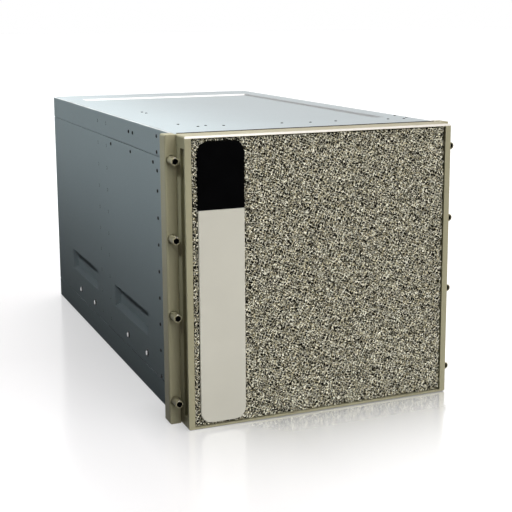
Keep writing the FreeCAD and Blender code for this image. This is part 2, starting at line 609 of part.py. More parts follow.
def drive_latches():
    """Front faces of the carriers: a hooked pull bar with air slots."""
    brow = "-latch_reach * 0.6"
    outline = [("0", "0"), ("-latch_reach / 2", "0"), ("-latch_reach", "latch_chin"),
               ("-latch_reach", "drive_height * 0.78"), (brow, "drive_height - latch_chin"),
               (brow, "drive_height"), ("0", "drive_height")]
    body = extruded("drive_latch", "YZ", [outline], "drive_width")
    dressed(body, "Fillet", runs_along("X"), "latch_round")
    slots = [rectangle(f"drive_width * {column}", f"drive_width * {column} + latch_slot",
                       f"drive_height * {row}", f"drive_height * {row} + latch_slot_height")
             for column in LATCH_SLOT_COLUMNS for row in LATCH_SLOT_ROWS]
    pocket(body, "XZ", slots, "latch_reach * 0.6", offset="latch_reach")
    places = [f"{x} - drive_width / 2" for x in drive_places()]
    return group("drive_latches", [copy(f"drive_latch_{number}", body, x, PANEL_FRONT, "drive_foot")
                                   for number, x in enumerate(places, start=1)])


BANK_CENTRE = "(bank_side - drive_pitch * drives_per_bank / 2)"
BANK_HALF = "(drive_pitch * drives_per_bank / 2 + cage_margin)"
CAGE_BACK = f"({PANEL_FRONT} + drive_length + cage_margin)"


def bank_columns():
    """Middles of one bank's carriers, from the middle of the bank."""
    count = int(value("drives_per_bank"))
    return [f"({step} - (drives_per_bank - 1) / 2) * drive_pitch" for step in range(count)]


def drive_cages():
    """Channels with a runner under each carrier."""
    length = f"{CAGE_BACK} - ({FRAME_BACK})"
    body = extruded("drive_cage", "XZ", [channel(BANK_HALF, "sheet", "sheet + cage_height", "sheet")], length)
    runners = [box(f"cage_runner_{number}", (f"{x} - runner_half", f"{x} + runner_half"), ("0", length),
                   ("1.5 * sheet", "drive_foot")) for number, x in enumerate(bank_columns())]
    seated = fuse("drive_cage_seat", body, *runners)
    return group("drive_cages", [copy(f"{side}_drive_cage", seated, f"{sign} * {BANK_CENTRE}", FRAME_BACK)
                                 for side, sign in SIDES.items()])


def drive_backplanes():
    outline = rectangle(f"-{BANK_HALF}", BANK_HALF, "0", "drive_height + backplane_spare")
    body = extruded("drive_backplane", "XZ", [outline], "board_thickness")
    vents = [rectangle(f"{x} - backplane_vent", f"{x} + backplane_vent", "backplane_vent_foot",
                       "backplane_vent_head") for x in bank_columns()]
    pocket(body, "XZ", vents, "board_thickness")
    return group("drive_backplanes", [copy(f"{side}_backplane", body, f"{sign} * {BANK_CENTRE}", CAGE_BACK,
                                           "sheet")
                                      for side, sign in SIDES.items()])


# Openings of the control panel: left, right, low and high edges
CONTROL_PORTS = {"display": (12, 29, 68, 77), "upper_serial": (12, 26, 50, 56),
                 "lower_serial": (12, 26, 36, 42), "management": (84, 98, 40, 54)}


def control_panel():
    outline = rectangle("-panel_half", "panel_half", "panel_foot", "panel_head")
    body = extruded("control_panel", "XZ", [outline], "flange_thickness")
    dressed(body, "Fillet", runs_along("Y"), "hub_round")
    foot = "(panel_foot + panel_head - vent_height) / 2"
    count = int(value("vent_count"))
    lefts = [f"-panel_half + vent_margin + vent_pitch * {number}" for number in range(count)]
    vents = [rectangle(left, f"{left} + vent_width", foot, f"{foot} + vent_height") for left in lefts]
    ports = [rectangle(*edges) for edges in CONTROL_PORTS.values()]
    pocket(body, "XZ", vents + ports, "flange_thickness")
    locate(body, y=f"{PANEL_FRONT} - flange_thickness")
    start = f"{PANEL_FRONT} - flange_thickness - {PAST}"
    holes = [rod(f"{name}_hole", "y", f"{name}_radius + button_play", f"flange_thickness + 2 * {PAST}",
                 "button_x", start, f"{name}_height") for name in ("power", "identify")]
    return cut("control_panel_drilled", body, holes)


def push_button(name, radius, height):
    """A domed cap that slides in the panel, kept in by a flange behind it."""
    stem, rim = f"{radius} - button_taper", f"{radius} + button_flange"
    front = "flange_thickness + button_gap"
    back = f"{front} + button_flange"
    body = revolved(name, [("0", "-button_proud - button_dome"), (stem, "-button_proud"),
                           (radius, "-button_proud + button_edge"), (radius, front), (rim, front),
                           (rim, back), (stem, back), (stem, "button_length"), ("0", "button_length")])
    return locate(body, "button_x", f"{PANEL_FRONT} - flange_thickness", height)


# Bays behind the fans

AIR_ROWS = ((70, 130), (183, 267), (308, 392))  # low and high edges of the midplane's air openings


def midplane_board():
    outline = rectangle("-midplane_half", "midplane_half", "sheet", f"{HEIGHT} - midplane_drop")
    body = extruded("midplane_board", "XZ", [outline], "midplane_thickness")
    columns = [f"air_pitch * {step}" for step in (-1.5, -0.5, 0.5, 1.5)]
    air = [rectangle(f"{x} - air_half", f"{x} + air_half", low, high)
           for x in columns for low, high in AIR_ROWS]
    pocket(body, "XZ", air, "midplane_thickness")
    return locate(body, y=MIDPLANE)


def module_shelf():
    folded = channel(f"{HALF} - sheet", "0", "shelf_flange", "sheet")
    outline = [(x, f"{SHELF_TOP} - ({z})") for x, z in folded]
    return locate(extruded("module_shelf", "XZ", [outline], f"{PANEL_BACK} - {BAY_FRONT}"), y=BAY_FRONT)


def supply_walls():
    count = int(value("supply_count"))
    return [f"supply_pitch * ({number} - supply_count / 2)" for number in range(1, count)]


def power_cage():
    """A shelf on upright walls that part the power supplies, one comb-shaped profile."""
    half = f"({HALF} - sheet)"
    outline = [(f"-{half}", POWER_TOP), (f"-{half}", "power_shelf")]
    for wall in supply_walls():
        outline += [(f"{wall} - divider / 2", "power_shelf"), (f"{wall} - divider / 2", "sheet"),
                    (f"{wall} + divider / 2", "sheet"), (f"{wall} + divider / 2", "power_shelf")]
    outline += [(half, "power_shelf"), (half, POWER_TOP)]
    return locate(extruded("power_cage", "XZ", [outline], f"{PANEL_BACK} - {BAY_FRONT}"), y=BAY_FRONT)


# Ejector levers, shared by both trays

def ejector_lever():
    """A flat lever on an upright pivot, its free end turned out as a finger grip."""
    inner, outer, end = "-lever_thickness / 2", "lever_thickness / 2", "lever_length + lever_flare"
    grip = f"{outer} + grip_reach"
    outline = [("0", inner), ("lever_length", inner), (end, grip), (f"{end} - lever_tip", grip),
               (f"{end} - lever_bend", outer), ("0", outer)]
    arm = extruded("lever_arm", "XY", [outline], "lever_height")
    past_knuckle = value("knuckle")
    dressed(arm, "Fillet", lambda b: runs_along("Z")(b) and b.XMin > past_knuckle, "lever_round")
    solid = fuse("lever_solid", arm, rod("lever_knuckle", "z", "knuckle", "lever_height"))
    bore = rod("lever_bore", "z", "pin_radius + pin_play", f"lever_height + 2 * {PAST}", z=f"-{PAST}")
    return cut("ejector_lever", solid, [bore])


def lever_clevis(name, height):
    """Two ears and a pin that carry a lever on a tray's rear wall."""
    parts = []
    for side, sign in SIDES.items():
        for end, low in (("low", "-clevis - clevis_play"), ("high", "lever_height + clevis_play")):
            foot = f"{height} + {low}"
            ear = extruded(f"{name}_{side}_{end}_ear", "XY",
                           [rectangle("-knuckle", "knuckle", "-lever_out", "knuckle - 1")], "clevis")
            dressed(ear, "Fillet", lambda b: runs_along("Z")(b) and b.YMin > 0, "clevis_round")
            parts.append(locate(ear, f"{sign} * lever_x", f"{REAR_FACE} + lever_out", foot))
        span = "lever_height + 2 * clevis_play + 2 * clevis"
        parts.append(rod(f"{name}_{side}_pin", "z", "pin_radius", span, f"{sign} * lever_x",
                         f"{REAR_FACE} + lever_out", f"{height} - clevis - clevis_play"))
    return parts


def tray_levers(name, height, lever, mirrored):
    return [copy(f"{name}_lever_left", lever, "-lever_x", f"{REAR_FACE} + lever_out", height),
            copy(f"{name}_lever_right", mirrored, "lever_x", f"{REAR_FACE} + lever_out", height)]


# Accelerator tray

MODULE_FOOT = f"({SHELF_TOP} + tray_play)"
MODULE_BOARD = f"({MODULE_FOOT} + sheet + standoff)"


def tray_pan(name, foot, wall, head, openings):
    """A folded pan with a rear wall that holds openings."""
    length = f"{REAR_FACE} - ({TRAY_FRONT})"
    body = extruded(name + "_pan", "XZ", [channel("tray_half", foot, f"{foot} + {wall}", "sheet")], length)
    wall_sketch = sketch_on(body, "XZ", name + "_wall", [rectangle("-tray_half", "tray_half", foot, head)],
                            offset=f"-({length}) + rear_wall")
    feature(body, "Pad", name + "_wall_pad", wall_sketch, "rear_wall", reverse=True)
    pocket(body, "XZ", openings, f"rear_wall + 2 * {PAST}", offset=f"-({length}) + rear_wall + {PAST}")
    return locate(body, y=TRAY_FRONT)


STANDOFF_ROWS = (-200, 60, 360)  # places along Y


def standoffs(name, foot):
    """Pillars rooted in the pan's floor, under a board."""
    return [rod(f"{name}_standoff_{column}_{row}", "z", "standoff_radius", "standoff + sheet / 2",
                f"standoff_side * {column}", y, f"{foot} + sheet / 2")
            for column in (-1, 0, 1) for row, y in enumerate(STANDOFF_ROWS)]


def module_tray():
    window = rectangle("-window_half", "window_half", "window_foot", "window_head")
    pan = tray_pan("module_tray", MODULE_FOOT, "tray_wall", "tray_head", [window])
    return fuse("module_tray", pan, *standoffs("module", MODULE_FOOT),
                *lever_clevis("module", "module_lever"))


def exhaust_grille():
    """A honeycomb plate behind the window, cut in one pass from its cells."""
    pitch, radius = value("cell_pitch"), (value("cell_pitch") - value("cell_web")) / math.sqrt(3)
    half, low, high = value("window_half"), value("window_foot"), value("window_head")
    row_pitch = pitch * math.sqrt(3) / 2
    border, head = value("grille_border"), high + value("grille_head")
    side, foot = half + border, low - border
    outline = [Vector(x, 0, z) for x, z in ((-side, foot), (side, foot), (side, head), (-side, head))]
    wires = [Part.makePolygon(outline + outline[:1])]
    for row in range(int((high - low - pitch) / row_pitch) + 1):
        height = low + pitch / 2 + row * row_pitch
        shift = pitch / 2 if row % 2 else 0
        count = int((2 * half - pitch - shift) / pitch) + 1
        for column in range(count):
            centre = Vector(-half + pitch / 2 + shift + column * pitch, 0, height)
            corners = [centre + Vector(radius * math.sin(angle), 0, radius * math.cos(angle))
                       for angle in (math.radians(60 * step) for step in range(6))]
            wires.append(Part.makePolygon(corners + corners[:1]))
    grille = doc.addObject("Part::Feature", "exhaust_grille")
    grille.Shape = Part.Face(wires, "Part::FaceMakerBullseye").extrude(Vector(0, value("sheet"), 0))
    return locate(grille, y=f"{REAR_FACE} - rear_wall - sheet")


def module_board():
    outline = rectangle("-board_half", "board_half", f"{TRAY_FRONT} + module_board_front",
                        f"{REAR_FACE} - module_board_back")
    return locate(extruded("module_board", "XY", [outline], "module_board"), z=MODULE_BOARD)


def comb(width, base, height, fins):
    """Outline of a finned heatsink seen along its fins."""
    step = f"(({width}) - fin) / ({fins} - 1)"
    outline = [(f"-({width}) / 2", "0"), (f"({width}) / 2", "0")]
    for number in reversed(range(fins)):
        left = f"-({width}) / 2 + {step} * {number}"
        if number < fins - 1:
            outline.append((f"{left} + fin", base))
        outline += [(f"{left} + fin", height), (left, height)]
        if number:
            outline.append((left, base))
    return outline


def module_heatsinks():
    outline = comb("sink_width", "sink_base", "sink_height", int(value("fin_count")))
    body = extruded("module_heatsink", "XZ", [outline], "sink_length")
    columns = [f"sink_pitch * {step}" for step in (-1.5, -0.5, 0.5, 1.5)]
    places = [(x, y) for y in ("front_sinks", "rear_sinks") for x in columns]
    top = f"{MODULE_BOARD} + module_board"
    return group("module_heatsinks", [copy(f"module_heatsink_{number}", body, x, y, top)
                                      for number, (x, y) in enumerate(places, start=1)])


# System tray

SYSTEM_FOOT = f"({POWER_TOP} + tray_play)"
SYSTEM_BOARD = f"({SYSTEM_FOOT} + sheet + standoff)"
# Network ports: place in port pitches from the middle, and size as a share of the largest
PORTS = [(-1.5, 1), (-0.5, 1), (0.5, 1), (1.5, 1), (-4, 0.8), (-3, 0.8), (3, 0.8), (4, 0.8)]


def port_cells(margin):
    """Openings of the network ports, grown by a margin, as planes of x and z."""
    planes = []
    for place, scale in PORTS:
        half = f"(cage_width * {scale} / 2 + {margin})"
        foot = f"({SYSTEM_BOARD} + board_thickness)"
        planes.append((f"port_pitch * {place} - {half}", f"port_pitch * {place} + {half}",
                       f"{foot} - ({margin})", f"{foot} + cage_opening * {scale} + ({margin})"))
    return planes


def system_tray():
    count = int(value("system_vent_count"))
    middles = [f"system_vent_pitch * ({number} - (system_vent_count - 1) / 2)" for number in range(count)]
    vents = [rectangle(f"{x} - system_vent_half", f"{x} + system_vent_half", "system_vent_foot",
                       "system_vent_head") for x in middles]
    ports = [rectangle(*cell) for cell in port_cells("port_play")]
    pan = tray_pan("system_tray", SYSTEM_FOOT, "system_wall", "system_head", ports + vents)
    return fuse("system_tray", pan, *standoffs("system", SYSTEM_FOOT),
                *lever_clevis("system", "system_lever"))


def network_ports():
    """Sheet cages, open to the rear and closed inside."""
    cages = []
    back = f"{REAR_FACE} + port_proud"
    front = f"{back} - cage_length"
    for number, (outer, inner) in enumerate(zip(port_cells("0"), port_cells("-cage_sheet")), start=1):
        shell = box(f"port_shell_{number}", outer[:2], (front, back), outer[2:])
        hollow = box(f"port_hollow_{number}", inner[:2], (f"{front} + cage_sheet", f"{back} + {PAST}"),
                     inner[2:])
        cages.append(cut(f"port_{number}", shell, [hollow]))
    return group("network_ports", cages)


def system_board():
    outline = rectangle("-board_half", "board_half", f"{TRAY_FRONT} + system_board_front",
                        f"{REAR_FACE} - system_board_back")
    return locate(extruded("system_board", "XY", [outline], "board_thickness"), z=SYSTEM_BOARD)


def processor_heatsinks():
    outline = comb("processor_sink", "processor_base", "processor_height", int(value("processor_fins")))
    body = extruded("processor_heatsink", "XZ", [outline], "processor_length")
    top = f"{SYSTEM_BOARD} + board_thickness"
    return group("processor_heatsinks", [copy(f"{side}_processor_heatsink", body, f"{sign} * processor_x",
                                              "processor_front", top) for side, sign in SIDES.items()])


def memory_modules():
    key_end = "memory_key + memory_notch"
    outline = [("0", "0"), ("memory_key", "0"), ("memory_key", "memory_notch"), (key_end, "memory_notch"),
               (key_end, "0"), ("memory_length", "0"), ("memory_length", "memory_height"),
               ("0", "memory_height")]
    body = extruded("memory_module", "YZ", [outline], "memory_thickness")
    top = f"{SYSTEM_BOARD} + board_thickness"
    sticks = []
    for side, sign in SIDES.items():
        for flank in (-1, 1):
            for number in range(int(value("memory_row"))):
                reach = f"processor_sink / 2 + memory_gap + memory_pitch * {number}"
                x = f"{sign} * processor_x + {flank} * ({reach}) - memory_thickness / 2"
                sticks.append(copy(f"{side}_memory_{flank}_{number}", body, x, "memory_front", top))
    return group("memory_modules", sticks)


# Power supplies

def power_supply():
    """A long case with a recessed inlet, a round air inlet and a pull handle on its rear face."""
    half = "supply_width / 2"
    case = extruded("supply_case", "XZ", [rectangle(f"-{half}", half, "0", "supply_height")], "supply_length")
    dressed(case, "Fillet", runs_along("Y"), "supply_round")
    inlet = rectangle("inlet_x - inlet_width / 2", "inlet_x + inlet_width / 2",
                      "(supply_height - inlet_height) / 2", "(supply_height + inlet_height) / 2")
    pocket(case, "XZ", [inlet], "inlet_depth", offset="-supply_length + inlet_depth")
    deep = value("inlet_depth")
    dressed(case, "Fillet", lambda b: runs_along("Y")(b) and near(b.YLength, deep), "inlet_round")
    ring = cut("supply_ring", rod("supply_ring_disc", "y", "supply_fan", "supply_fan_depth"),
               [rod("supply_ring_core", "y", "supply_fan_core", "supply_fan_depth")])
    locate(ring, "-supply_fan_x", "supply_length - supply_fan_depth", "supply_height / 2")
    outer, inner = "rear_overhang", "rear_overhang - handle_bar"
    low, high = "(supply_height - handle_height) / 2", "(supply_height + handle_height) / 2"
    under, over = f"{high} - handle_bar", f"{low} + handle_bar"
    outline = [("0", low), (outer, low), (outer, high), ("0", high), ("0", under), (inner, under),
               (inner, over), ("0", over)]
    handle = extruded("supply_handle", "YZ", [outline], "handle_width")
    dressed(handle, "Fillet", lambda b: runs_along("X")(b) and not near(b.YMin, 0), "handle_round")
    locate(handle, "0", "supply_length", "0")
    return group("power_supply", [cut("supply_case_ringed", case, [ring]), handle])


def power_supplies():
    supply = power_supply()
    nodes = []
    for number in range(int(value("supply_count"))):
        x = f"supply_pitch * ({number} - (supply_count - 1) / 2)"
        nodes.append(copy(f"power_supply_{number + 1}", supply, x, f"{PANEL_BACK} - supply_length",
                          "sheet + tray_play"))
    return nodes


def renamed(feature_object, label):
    """Gives a finished piece the name of its node, moving that name off the feature it is made from."""
    for other in doc.getObjectsByLabel(label):
        other.Label = label + "_base"
    feature_object.Label = label
    return feature_object


left_panel = side_panel("left_side_panel")
left_ear = renamed(rack_ear(), "left_rack_ear")
lever = ejector_lever()
mirrored_lever = mirror("ejector_lever_mirrored", lever)
NODES = [
    chassis_base(), left_panel, mirror("right_side_panel", left_panel), top_cover(), front_frame(),
    left_ear, mirror("right_rack_ear", left_ear), captive_screws(), rail_studs(),
    bezel_frame(), bezel_foam(),
    label_plate("label_upper", "label_split + label_gap", "label_head", round_low=False),
    label_plate("label_lower", "label_foot", "label_split", round_low=True),
    bezel_sockets(), bezel_catches(),
    *fan_nodes(),
    drive_carriers(), drive_latches(), drive_cages(), drive_backplanes(),
    renamed(control_panel(), "control_panel"),
    push_button("power_button", "power_radius", "power_height"),
    push_button("identify_button", "identify_radius", "identify_height"),
    midplane_board(), module_shelf(), power_cage(),
    renamed(module_tray(), "module_tray"), exhaust_grille(), module_board(), module_heatsinks(),
    *tray_levers("module", "module_lever", lever, mirrored_lever),
    renamed(system_tray(), "system_tray"), system_board(), processor_heatsinks(), memory_modules(),
    network_ports(),
    *tray_levers("system", "system_lever", lever, mirrored_lever),
    *power_supplies(),
]
doc.recompute()

failed = [item.Name for item in doc.Objects if {"Invalid", "Error"} & set(item.State)]
broken = [node.Label for node in NODES if node.Shape.isNull() or not node.Shape.isValid()]
if failed or broken:
    raise RuntimeError(f"failed objects {failed}, broken shapes {broken}")

os.makedirs("parts", exist_ok=True)
for node in NODES:
    node.Shape.exportStep(f"parts/{node.Label}.step")
print(len(NODES), "nodes,", sum(len(node.Shape.Solids) for node in NODES), "solids")
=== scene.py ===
import itertools
import json
import math

import bmesh
import bpy
import numpy as np
from mathutils import Matrix, Vector


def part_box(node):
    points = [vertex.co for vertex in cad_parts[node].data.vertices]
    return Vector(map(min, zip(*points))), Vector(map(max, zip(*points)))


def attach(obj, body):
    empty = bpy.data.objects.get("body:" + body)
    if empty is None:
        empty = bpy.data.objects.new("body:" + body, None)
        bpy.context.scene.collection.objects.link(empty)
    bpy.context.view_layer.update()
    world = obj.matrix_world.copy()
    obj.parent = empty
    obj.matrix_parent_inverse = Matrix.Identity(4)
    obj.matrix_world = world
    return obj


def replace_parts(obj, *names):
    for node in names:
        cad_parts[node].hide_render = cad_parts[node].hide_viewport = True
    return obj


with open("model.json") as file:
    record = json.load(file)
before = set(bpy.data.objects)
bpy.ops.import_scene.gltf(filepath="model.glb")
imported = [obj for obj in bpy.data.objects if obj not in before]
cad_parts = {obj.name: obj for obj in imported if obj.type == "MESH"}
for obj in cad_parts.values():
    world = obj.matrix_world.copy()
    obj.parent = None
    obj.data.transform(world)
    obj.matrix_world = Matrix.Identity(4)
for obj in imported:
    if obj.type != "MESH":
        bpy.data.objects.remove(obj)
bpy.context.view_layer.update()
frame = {"nodes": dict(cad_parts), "record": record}

MM = 0.001
NODES = frame["nodes"]
SIDES = (-1, 1)  # left and right


def linked(name, data):
    """A new object of the data, in the scene."""
    made = bpy.data.objects.new(name, data)
    bpy.context.scene.collection.objects.link(made)
    return made


# Camera

PHOTO = 512  # pixels along each side of the photograph
FOCAL = 1075.8  # pixels
AIM_ROW = 204.8  # pixel row that the camera points at
SENSOR = 36.0  # millimetres
CAMERA_PLACE = (-0.713, -1.904, 0.611)
CAMERA_TILT, CAMERA_ROLL, CAMERA_HEADING = 90 - 9.865, 0.317, -22.467  # degrees
VIEW_DEPTH = 200  # metres


def make_camera():
    data = bpy.data.cameras.new("camera")
    data.sensor_width = SENSOR
    data.lens = FOCAL / PHOTO * SENSOR
    data.shift_y = (AIM_ROW - PHOTO / 2) / PHOTO
    data.clip_end = VIEW_DEPTH
    camera = linked("camera", data)
    camera.location = CAMERA_PLACE
    camera.rotation_euler = [math.radians(angle) for angle in (CAMERA_TILT, CAMERA_ROLL, CAMERA_HEADING)]
    bpy.context.scene.camera = camera


# Node helpers


def put(socket, given):
    """Sets a socket to a value, or links it to another socket."""
    if isinstance(given, bpy.types.NodeSocket):
        socket.id_data.links.new(given, socket)
    else:
        socket.default_value = given


def add(tree, kind, inputs=None, **settings):
    node = tree.nodes.new("ShaderNode" + kind)
    for key, setting in settings.items():
        setattr(node, key, setting)
    for key, given in (inputs or {}).items():
        put(node.inputs[key], given)
    return node


def math_node(tree, operation, first, second=0.0):
    return add(tree, "Math", {0: first, 1: second}, operation=operation).outputs[0]


def blend(tree, factor, first, second, mode="MIX"):
    """A colour mix of two colours or colour sockets."""
    node = add(tree, "Mix", data_type="RGBA", blend_type=mode)
    put(node.inputs["Factor"], factor)
    put(node.inputs[6], first)
    put(node.inputs[7], second)
    return node.outputs[2]


def spread(tree, given, low, high, to_low=0.0, to_high=1.0):
    """A value's range stretched to another, clamped at its ends."""
    node = add(tree, "MapRange", {"Value": given, "From Min": low, "From Max": high, "To Min": to_low,
                                  "To Max": to_high})
    return node.outputs["Result"]


def opaque(colour):
    return (*colour, 1.0)


def scaled(colour, factor):
    return tuple(min(1.0, part * factor) for part in colour)


EDGE_SAMPLES = 4
EDGE_TURN = (0.995, 0.8)  # cosines of the turns at which an edge begins and is full
FACING_TURN = (0.96, 0.99)  # the same for a surface that faces a direction
CLOUDS = (0.3, 0.7)  # the range that most of a noise lies in


class Finish:
    """One procedural material: a shader with places in metres to hang its pattern on."""

    def __init__(self, name):
        self.material = bpy.data.materials.new(name)
        self.material.use_nodes = True
        self.tree = self.material.node_tree
        self.shader = self.tree.nodes["Principled BSDF"]
        self.place = self.add("TexCoord").outputs["Object"]

    def add(self, kind, inputs=None, **settings):
        return add(self.tree, kind, inputs, **settings)

    def set(self, **inputs):
        for key, given in inputs.items():
            put(self.shader.inputs[key.replace("_", " ")], given)

    def stretched(self, along):
        """Places squeezed along each axis, for brushed and drawn marks."""
        return self.add("Mapping", {"Vector": self.place, "Scale": along}).outputs[0]

    def noise(self, size, detail=2.0, place=None):
        """Cloudy values about half, with marks of the given size in metres."""
        inputs = {"Vector": place or self.place, "Scale": 1 / size, "Detail": detail}
        return self.add("TexNoise", inputs).outputs["Fac"]

    def cells(self, size, output="Distance"):
        """Distances from the middles of uneven cells of the given size, or a colour for each cell."""
        return self.add("TexVoronoi", {"Vector": self.place, "Scale": 1 / size}).outputs[output]

    def edges(self, width):
        """One along sharp edges, fading out over the given width."""
        rounded = self.add("Bevel", {"Radius": width}, samples=EDGE_SAMPLES).outputs[0]
        flat = self.add("NewGeometry").outputs["Normal"]
        turn = self.add("VectorMath", {0: rounded, 1: flat}, operation="DOT_PRODUCT").outputs["Value"]
        return spread(self.tree, turn, *EDGE_TURN)

    def facing(self, direction):
        """One where the surface faces the given direction."""
        normal = self.add("TexCoord").outputs["Normal"]
        turn = self.add("VectorMath", {0: normal, 1: direction}, operation="DOT_PRODUCT").outputs["Value"]
        return spread(self.tree, turn, *FACING_TURN)

    def bump(self, height, depth):
        """Relief of the given depth in metres."""
        return self.add("Bump", {"Height": height, "Strength": 1.0, "Distance": depth}).outputs[0]

    def mottled(self, colour, size, low, high):
        """The colour made darker and lighter in clouds of the given size."""
        clouds = spread(self.tree, self.noise(size, 4.0), *CLOUDS)
        return blend(self.tree, clouds, opaque(scaled(colour, low)), opaque(scaled(colour, high)))

    def between(self, given, low, high):
        """A noise as values from low to high."""
        return spread(self.tree, given, *CLOUDS, low, high)


# Finishes of the record's material slots

DIAGONAL = math.sqrt(0.5)
BROW = (0, -DIAGONAL, DIAGONAL)  # where the chamfered top edges of the bezel and label face
FOLDS = ((-DIAGONAL, 0, DIAGONAL), (DIAGONAL, 0, DIAGONAL))  # where bends and pressed slopes face
LID_STEP = (0, -0.6, 0.8)  # where the rear step of the lid's sunken field faces
BEND_INSETS = (5 * MM, 4 * MM)  # a bend of the lid begins and ends this far in from its side
LID_DROPS = (4 * MM, 3 * MM)  # a slope no lower than this, from the top, belongs to the lid
BROW_PAINTED_HIGHLIGHT = (0.74, 0.73, 0.68)  # painted highlight on the chamfers that face up and forward
PAINT, PAINT_EDGE_HIGHLIGHT = (0.405, 0.470, 0.492), (0.54, 0.60, 0.62)
SPECKLE, SPECKLE_RANGE, SPECKLE_TONES = 1.2 * MM, (0.35, 0.65), (0.96, 1.04)
# Painted highlights on the lid's bends, rear step and side steps, and painted shade on pressed slopes
LID_PAINTED_HIGHLIGHT, STEP_PAINTED_HIGHLIGHT, RECESS_PAINTED_SHADE = (0.94, 0.95, 0.95), (0.62, 0.68, 0.70), (0.25, 0.29, 0.305)


def chassis_paint():
    """Powder coat with painted highlights along its edges, on the lid's bends, rear step and side steps, and
    painted shade on the pressed slopes of its recesses.
    """
    finish = Finish("chassis_paint")
    tree = finish.tree
    body = finish.mottled(PAINT, size=0.25, low=0.985, high=1.015)
    speckle = spread(tree, finish.noise(SPECKLE, 1.0), *SPECKLE_RANGE, *SPECKLE_TONES)
    grains = finish.add("CombineColor", {part: speckle for part in range(3)}).outputs[0]
    colour = blend(tree, 1.0, body, grains, "MULTIPLY")
    # Painted highlight: the coat is lighter along sharp edges.
    colour = blend(tree, finish.edges(0.4 * MM), colour, opaque(PAINT_EDGE_HIGHLIGHT))
    # Painted highlight on the rear step of the lid's sunken field.
    colour = blend(tree, finish.facing(LID_STEP), colour, opaque(LID_PAINTED_HIGHLIGHT))
    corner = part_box("top_cover")[1]
    x, _, z = finish.add("SeparateXYZ", {0: finish.place}).outputs
    outer = spread(tree, math_node(tree, "ABSOLUTE", x), *(corner.x - inset for inset in BEND_INSETS))
    upper = spread(tree, z, *(corner.z - drop for drop in LID_DROPS))
    for direction in FOLDS:
        slope = finish.facing(direction)
        high = math_node(tree, "MULTIPLY", slope, upper)
        # Painted shade on the slopes below the lid's top, such as those of the pressed recesses.
        colour = blend(tree, math_node(tree, "SUBTRACT", slope, high), colour, opaque(RECESS_PAINTED_SHADE))
        # Painted highlight on the slopes near the lid's top: its bends and the side steps of its sunken
        # field.
        colour = blend(tree, high, colour, opaque(STEP_PAINTED_HIGHLIGHT))
        # Painted highlight, near-white, on the lid's bends along its sides.
        colour = blend(tree, math_node(tree, "MULTIPLY", high, outer), colour, opaque(LID_PAINTED_HIGHLIGHT))
    finish.set(Base_Color=colour, Metallic=0.0, Specular_IOR_Level=0.0,
               Sheen_Weight=0.05, Sheen_Roughness=0.45,
               Roughness=finish.between(finish.noise(30 * MM), 0.38, 0.46),
               Normal=finish.bump(finish.noise(0.9 * MM, 1.0), 0.03 * MM))
    return finish.material


def champagne(name, colour, roughness, blast=0.35 * MM, wear_and_highlight=1.45):
    """Bead-blasted anodised aluminium in a warm grey gold."""
    finish = Finish(name)
    clouds = finish.mottled(colour, size=0.12, low=0.96, high=1.04)
    # Lighter along sharp edges: wear, and a painted highlight.
    worn_and_highlit = blend(finish.tree, finish.edges(0.6 * MM), clouds, opaque(scaled(colour, wear_and_highlight)))
    # Painted highlight on the chamfers that face up and forward.
    worn_and_highlit = blend(finish.tree, finish.facing(BROW), worn_and_highlit, opaque(BROW_PAINTED_HIGHLIGHT))
    finish.set(Base_Color=worn_and_highlit, Metallic=0.1, Specular_IOR_Level=0.05,
               Roughness=finish.between(finish.noise(18 * MM), roughness - 0.04, roughness + 0.04),
               Normal=finish.bump(finish.noise(blast, 2.0), 0.02 * MM))
    return finish.material


def champagne_metal():
    return champagne("champagne_metal", colour=(0.355, 0.335, 0.222), roughness=0.42)


def screw_metal():
    return champagne("screw_metal", colour=(0.33, 0.305, 0.198), roughness=0.36, blast=0.25 * MM)


FOAM_PAINTED_GLINT, FOAM_DULL, FOAM_PAINTED_SHADE = (1.0, 0.98, 0.82), (0.62, 0.56, 0.37), (0.03, 0.026, 0.014)
GLINT_CELL, GLINT_RANGE = 1.9 * MM, (0.3, 0.6)
FOAM_SHADE_DEPTHS = (1.2 * MM, 3.7 * MM)  # depths at which painted shade begins to darken the ligaments and makes them dark


def foam_metal():
    """Ligaments in dull and bright cells, the brightest a painted glint, darkened deep in the pores by
    painted shade.
    """
    finish = Finish("foam_metal")
    tree = finish.tree
    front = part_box("bezel_foam")[0].y
    along = finish.add("SeparateXYZ", {0: finish.place}).outputs[1]
    # Painted shade: the deeper a ligament lies, the darker it is.
    deep = spread(tree, along, *(front + fade for fade in FOAM_SHADE_DEPTHS))
    # Cells of the ligaments from dull to bright: random tone, with painted glints on the brightest.
    glint_cells = finish.add("RGBToBW", {0: finish.cells(GLINT_CELL, output="Color")}).outputs[0]
    skin = blend(tree, spread(tree, glint_cells, *GLINT_RANGE), opaque(FOAM_DULL), opaque(FOAM_PAINTED_GLINT))
    colour = blend(tree, deep, skin, opaque(FOAM_PAINTED_SHADE))
    finish.set(Base_Color=colour, Metallic=0.85,
               Roughness=finish.between(finish.noise(2.5 * MM), 0.20, 0.36),
               Normal=finish.bump(finish.noise(0.5 * MM, 2.0), 0.04 * MM))
    return finish.material


def foam_shade():
    """Painted shade: the dark depth behind the front layer of pores."""
    finish = Finish("foam_shade")
    colour = finish.mottled((0.020, 0.018, 0.012), size=5 * MM, low=0.6, high=1.4)
    finish.set(Base_Color=colour, Roughness=finish.between(finish.noise(3 * MM), 0.7, 0.9),
               Specular_IOR_Level=0.2, Normal=finish.bump(finish.cells(3.5 * MM), 1.0 * MM))
    return finish.material


